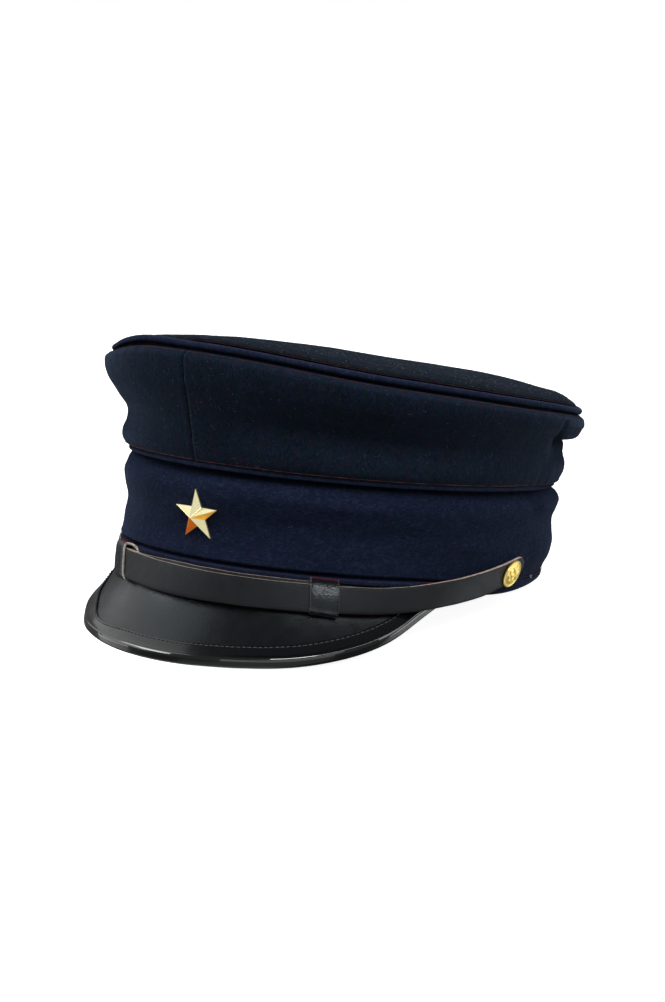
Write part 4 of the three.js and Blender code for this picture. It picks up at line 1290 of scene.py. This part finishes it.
def star():
    """Five points with a sharp ridge along each arm, its edges eased by a small bevel."""
    sheet = bmesh.new()
    peak = sheet.verts.new((0, 0, STAR_RELIEF))
    foot = sheet.verts.new((0, 0, 0))
    low, high = [], []
    for i in range(10):
        radius = STAR_RADIUS * (STAR_NOTCH if i % 2 else 1.0)
        angle = i * math.pi / 5 + math.radians(STAR_TURN)
        x, y = radius * math.sin(angle), radius * math.cos(angle)
        low.append(sheet.verts.new((x, y, 0)))
        high.append(sheet.verts.new((x, y, STAR_EDGE)))
    for i in range(10):
        j = (i + 1) % 10
        facet = sheet.faces.new((peak, high[j], high[i]))
        # Facets picked out in the orange copies of the gilt carry a painted reflection.
        facet.material_index = 1 if i in STAR_PAINTED_DEEP_FACETS else 2 if i in STAR_PAINTED_WARM_FACETS else 0
        sheet.faces.new((foot, low[i], low[j]))
        sheet.faces.new((low[i], high[i], high[j], low[j]))
    bmesh.ops.recalc_face_normals(sheet, faces=sheet.faces)
    mesh = bpy.data.meshes.new("star")
    sheet.to_mesh(mesh)
    sheet.free()
    for material in (STAR_GILT, STAR_PAINTED_DEEP_GILT, STAR_PAINTED_WARM_GILT):
        mesh.materials.append(material)
    obj = add_object("star_gilt_badge", mesh)
    lean = math.radians(STAR_LEAN)
    out = np.array([0, -math.cos(lean), math.sin(lean)])
    up = np.array([0, math.sin(lean), math.cos(lean)])
    stand_on(obj, np.array(STAR_MIDDLE), up, out)
    edge = obj.modifiers.new("edge", "BEVEL")
    edge.width = STAR_BEVEL[0] * MM
    edge.segments = 2
    edge.limit_method = "ANGLE"
    edge.angle_limit = math.radians(STAR_BEVEL[1])
    return finish_piece(obj, "gilt_metal", "star_badge")


# ---- lint and nap -----------------------------------------------------------------------------
def fibres(name, surface, count, length, radius, curl, lift, material, slot, seed, keep=None):
    """Loose fibres on a surface, an array (bearings, rows, 3) of head-frame points.  length and
    lift are ranges; keep gives each spot's chance to have its fibre."""
    random = np.random.default_rng(seed)
    rows, columns = surface.shape[:2]
    u = random.integers(0, rows - 1, count)
    v = random.integers(1, columns - 1, count)
    if keep is not None:
        chosen = random.random(count) < keep(surface[u, v])
        u, v = u[chosen], v[chosen]
    here = surface[u, v]
    along = unit(surface[(u + 1) % rows, v] - here)
    upward = unit(here - surface[u, v - 1])
    out = unit(np.cross(along, upward))
    middle = surface.reshape(-1, 3).mean(axis=0)
    out *= np.where(np.sum(out * (here - middle), axis=1) < 0, -1, 1)[:, None]
    turn = random.uniform(0, 2 * math.pi, len(here))[:, None]
    heading = along * np.cos(turn) + upward * np.sin(turn)
    aside = np.cross(out, heading)
    size = (length[0] + (length[1] - length[0]) * random.random(len(here)) ** 2)[:, None]
    bend = random.normal(0, curl, len(here))[:, None]
    rise = random.uniform(*lift, len(here))[:, None]
    points = []
    for t in np.linspace(0, 1, 5):
        swing = bend * t
        step = heading * np.cos(swing / 2) + aside * np.sin(swing / 2)
        points.append(here + step * size * t + out * (0.10 + rise * size * math.sin(math.pi * t * 0.6)))
    lines = place(np.stack(points, axis=1))
    return tubes(name, lines, radius * MM, 3, material, slot)


def widened(line, share):
    """A line of points taken away from the cap's axis by a share of its distance."""
    return line * (1 + share, 1 + share, 1.0)


def seam_thread(name, line, radius, seed, slot):
    """A sewing thread half sunk in the cloth along a line of head-frame points."""
    spots = np.arange(len(line))[:, None] * np.ones(3)
    thick = radius * np.clip(0.75 + 0.55 * noise(spots, 5.0, seed), 0.15, 1.2)
    return tubes(name, place(line)[None], thick[None] * MM, THREAD_SIDES, SEAM_THREAD, slot)


def threads():
    """Dark red sewing thread that shows at the crown's seams and over the hem."""
    for name, wall, seed in (("left", left_wall, 131), ("right", right_wall, 134)):
        seam_thread("top_seam_" + name, widened(wall[:, -2], 0.0016), 0.16, seed, "crown_wool")
        seam_thread("foot_seam_" + name, widened(wall[:, 2], 0.0014), 0.17, seed + 1, "crown_wool")
    edge = widened(np.concatenate([tip_top[:, -1], tip_top[:1, -1]]), 0.002) - (0, 0, 0.3)
    seam_thread("tip_seam", edge, 0.10, 137, "crown_wool")
    bearing = np.linspace(60, 300, 900)
    foot = wall_columns(BAND_WALL, bearing)[1]
    line = oval(bearing, foot + 0.25, np.full(len(bearing), HEM_TOP + 0.2))
    seam_thread("hem_seam", line, 0.16, 138, "band_wool")


def knot():
    """A pale knot of thread at the hem behind the button."""
    turn = np.linspace(0, 5.0 * math.pi, 60)
    middle = oval(KNOT_BEARING, 0.6, KNOT_HEIGHT)
    swing = 0.42 * (1 + 0.3 * np.sin(2.3 * turn))
    line = middle + np.stack([swing * np.sin(turn) * 0.6, swing * np.cos(turn),
                              0.5 * np.sin(0.7 * turn + 1)], axis=-1)
    tubes("thread_knot", place(line)[None], 0.17 * MM, 6, PALE_THREAD, "band_wool")


def lint():
    """Pale lint on the cloth, most of it on the tip, and a few red fibres on the left."""
    for name, surface, count, seed in (("left", left_wall, 320, 141), ("right", right_wall, 320, 142),
                                       ("band", band_wall, 160, 144)):
        slot = "band_wool" if name == "band" else "crown_wool"
        fibres("lint_" + name, surface, count, length=(0.4, 2.4), radius=0.018, curl=1.6,
               lift=(0.0, 0.12), material=LINT, slot=slot, seed=seed)
    evenly = lambda spots: np.hypot(spots[:, 0], spots[:, 1]) / HALF_LENGTH      # over the disc
    fibres("lint_tip", tip_top, 3200, length=(0.5, 1.8), radius=0.026, curl=1.4,
           lift=(0.15, 0.55), material=LINT, slot="crown_wool", seed=143, keep=evenly)
    fibres("red_fluff", left_wall, 7, length=(0.5, 1.1), radius=0.11, curl=2.0,
           lift=(0.0, 0.1), material=RED_FLUFF, slot="crown_wool", seed=147)


# ---- build ------------------------------------------------------------------------------------
tip, tip_top = crown_tip()
left, left_wall = crown_side("crown_left_cloth", "crown_side_left", 1)
right, right_wall = crown_side("crown_right_cloth", "crown_side_right", -1)
piping()
welt()
band_cloth, band_wall = band()
hem_roll = hem()
peak_board()
binding()
peak_stitching()
straps()
keeper("keeper_center_loop", "keeper_center", CENTER_KEEPER - 0.2, skew=0.1, slack=0.5, twist=0.0,
       crown=1.6, tilt=0.8, seed=121)
keeper("keeper_side_loop", "keeper_side", SIDE_KEEPER, skew=1.6, slack=1.6, twist=4.0,
       crown=0.1, tilt=0.0, seed=122)
button("button_left_gilt", "button_left", 1)
button("button_right_gilt", "button_right", -1)
star()
threads()
knot()
lint()


# ---- floor, light and camera --------------------------------------------------------------------
def direction(azimuth, elevation):
    """From the object towards azimuth (0 is the peak, growing to its left) and elevation."""
    a, e = math.radians(azimuth), math.radians(elevation)
    return Vector((math.sin(a) * math.cos(e), -math.cos(a) * math.cos(e), math.sin(e)))


def floor():
    """A plain pale floor with walls well off; it lights nothing from below."""
    paint = Finish("pale_floor")
    paint.set(Base_Color=(0.86, 0.86, 0.86, 1), Roughness=0.9, Specular_IOR_Level=0.0)
    paint.set(Emission_Color=(1, 1, 1, 1), Emission_Strength=FLOOR_GLOW)
    corners = [(-FLOOR_REACH, -FLOOR_REACH), (FLOOR_REACH, -FLOOR_REACH),
               (FLOOR_REACH, FLOOR_REACH), (-FLOOR_REACH, FLOOR_REACH)]
    points = [corner + (z,) for z in (0, WALL_HEIGHT) for corner in corners]
    walls = [(i, (i + 1) % 4, (i + 1) % 4 + 4, i + 4) for i in range(4)]
    sky = Finish("pale_wall")
    sky.set(Base_Color=(0, 0, 0, 1), Roughness=1.0, Specular_IOR_Level=0.0)
    sky.set(Emission_Color=(1, 1, 1, 1), Emission_Strength=1.0)
    paints = [paint.material, sky.material]
    obj = make_mesh("floor", points, [(0, 1, 2, 3)] + walls, paints, [0, 1, 1, 1, 1])
    obj.visible_diffuse = False
    obj.visible_glossy = False
    obj.visible_shadow = False
    for material in paints:
        material.cycles.emission_sampling = "NONE"


def lamp(name, kind, azimuth, elevation, distance, strength):
    light = bpy.data.lights.new(name, kind)
    light.energy = strength
    obj = add_object(name, light)
    aim = direction(VIEW_AZIMUTH + azimuth, elevation)
    obj.location = aim * distance + Vector((0, 0, 0.05))
    obj.rotation_euler = aim.to_track_quat("Z", "Y").to_euler()
    return light


# Soft rectangular lights: place round the view in degrees, distance and size in metres.  A card
# shows only as a shine, and a fill shows in none.
SOFTBOXES = [
    # name, azimuth, elevation, distance, width, height, watts, kind
    ("left_light", -111, 32, 1.7, 2.5, 1.8, 11.5, "light"),
    ("upper_light", 5, 52, 2.0, 1.5, 1.1, 6.3, "fill"),
    ("right_light", 82, 20, 1.7, 1.8, 1.0, 6.8, "light"),
    ("key_light", 36, 37, 1.8, 1.4, 0.26, 3.6, "light"),
    ("front_card", 3, 12, 1.8, 2.2, 0.64, 2.2, "card"),
    ("keeper_glint", 10, 33, 1.8, 0.7, 0.30, 6.5, "card"),
    ("left_glint", -84, 24, 1.7, 1.1, 0.3, 4.0, "card"),
    ("left_low_card", -105, -8, 1.6, 0.9, 0.5, 1.5, "card"),
    ("front_low_card", -10, -10, 1.8, 3.4, 0.7, 2.4, "card"),
    ("under_card", -45, -52, 1.2, 2.2, 1.4, 8.0, "card"),
    ("right_low_card", 98, -20, 1.2, 1.2, 0.55, 2.9, "card"),
]


def stage():
    """The floor, the overhead light, the softboxes and a dim even surrounding."""
    floor()
    sky = lamp("overhead", "SUN", -48, 75, 3.0, 2.0)
    sky.angle = math.radians(75)
    bpy.data.objects["overhead"].visible_glossy = False
    for name, azimuth, elevation, distance, width, height, watts, kind in SOFTBOXES:
        light = lamp(name, "AREA", azimuth, elevation, distance, watts)
        light.shape = "RECTANGLE"
        light.size, light.size_y = width, height
        bpy.data.objects[name].visible_diffuse = kind != "card"
        bpy.data.objects[name].visible_glossy = kind != "fill"
    world = bpy.data.worlds.new("studio")
    world.use_nodes = True
    background = world.node_tree.nodes["Background"]
    background.inputs["Color"].default_value = (1, 1, 1, 1)
    background.inputs["Strength"].default_value = WORLD_GLOW
    bpy.context.scene.world = world
    bpy.context.scene.view_settings.view_transform = "Standard"


def camera():
    """A camera at the angle that the object is shown from."""
    lens = bpy.data.cameras.new("camera")
    lens.sensor_fit = "VERTICAL"
    lens.sensor_height = SENSOR
    lens.lens = VIEW_LENS
    lens.clip_start = 0.05
    obj = add_object("camera", lens)
    aim = direction(VIEW_AZIMUTH, VIEW_ELEVATION)
    obj.location = Vector(VIEW_TARGET) + aim * VIEW_DISTANCE
    obj.rotation_euler = aim.to_track_quat("Z", "Y").to_euler()
    bpy.context.scene.camera = obj


stage()
camera()
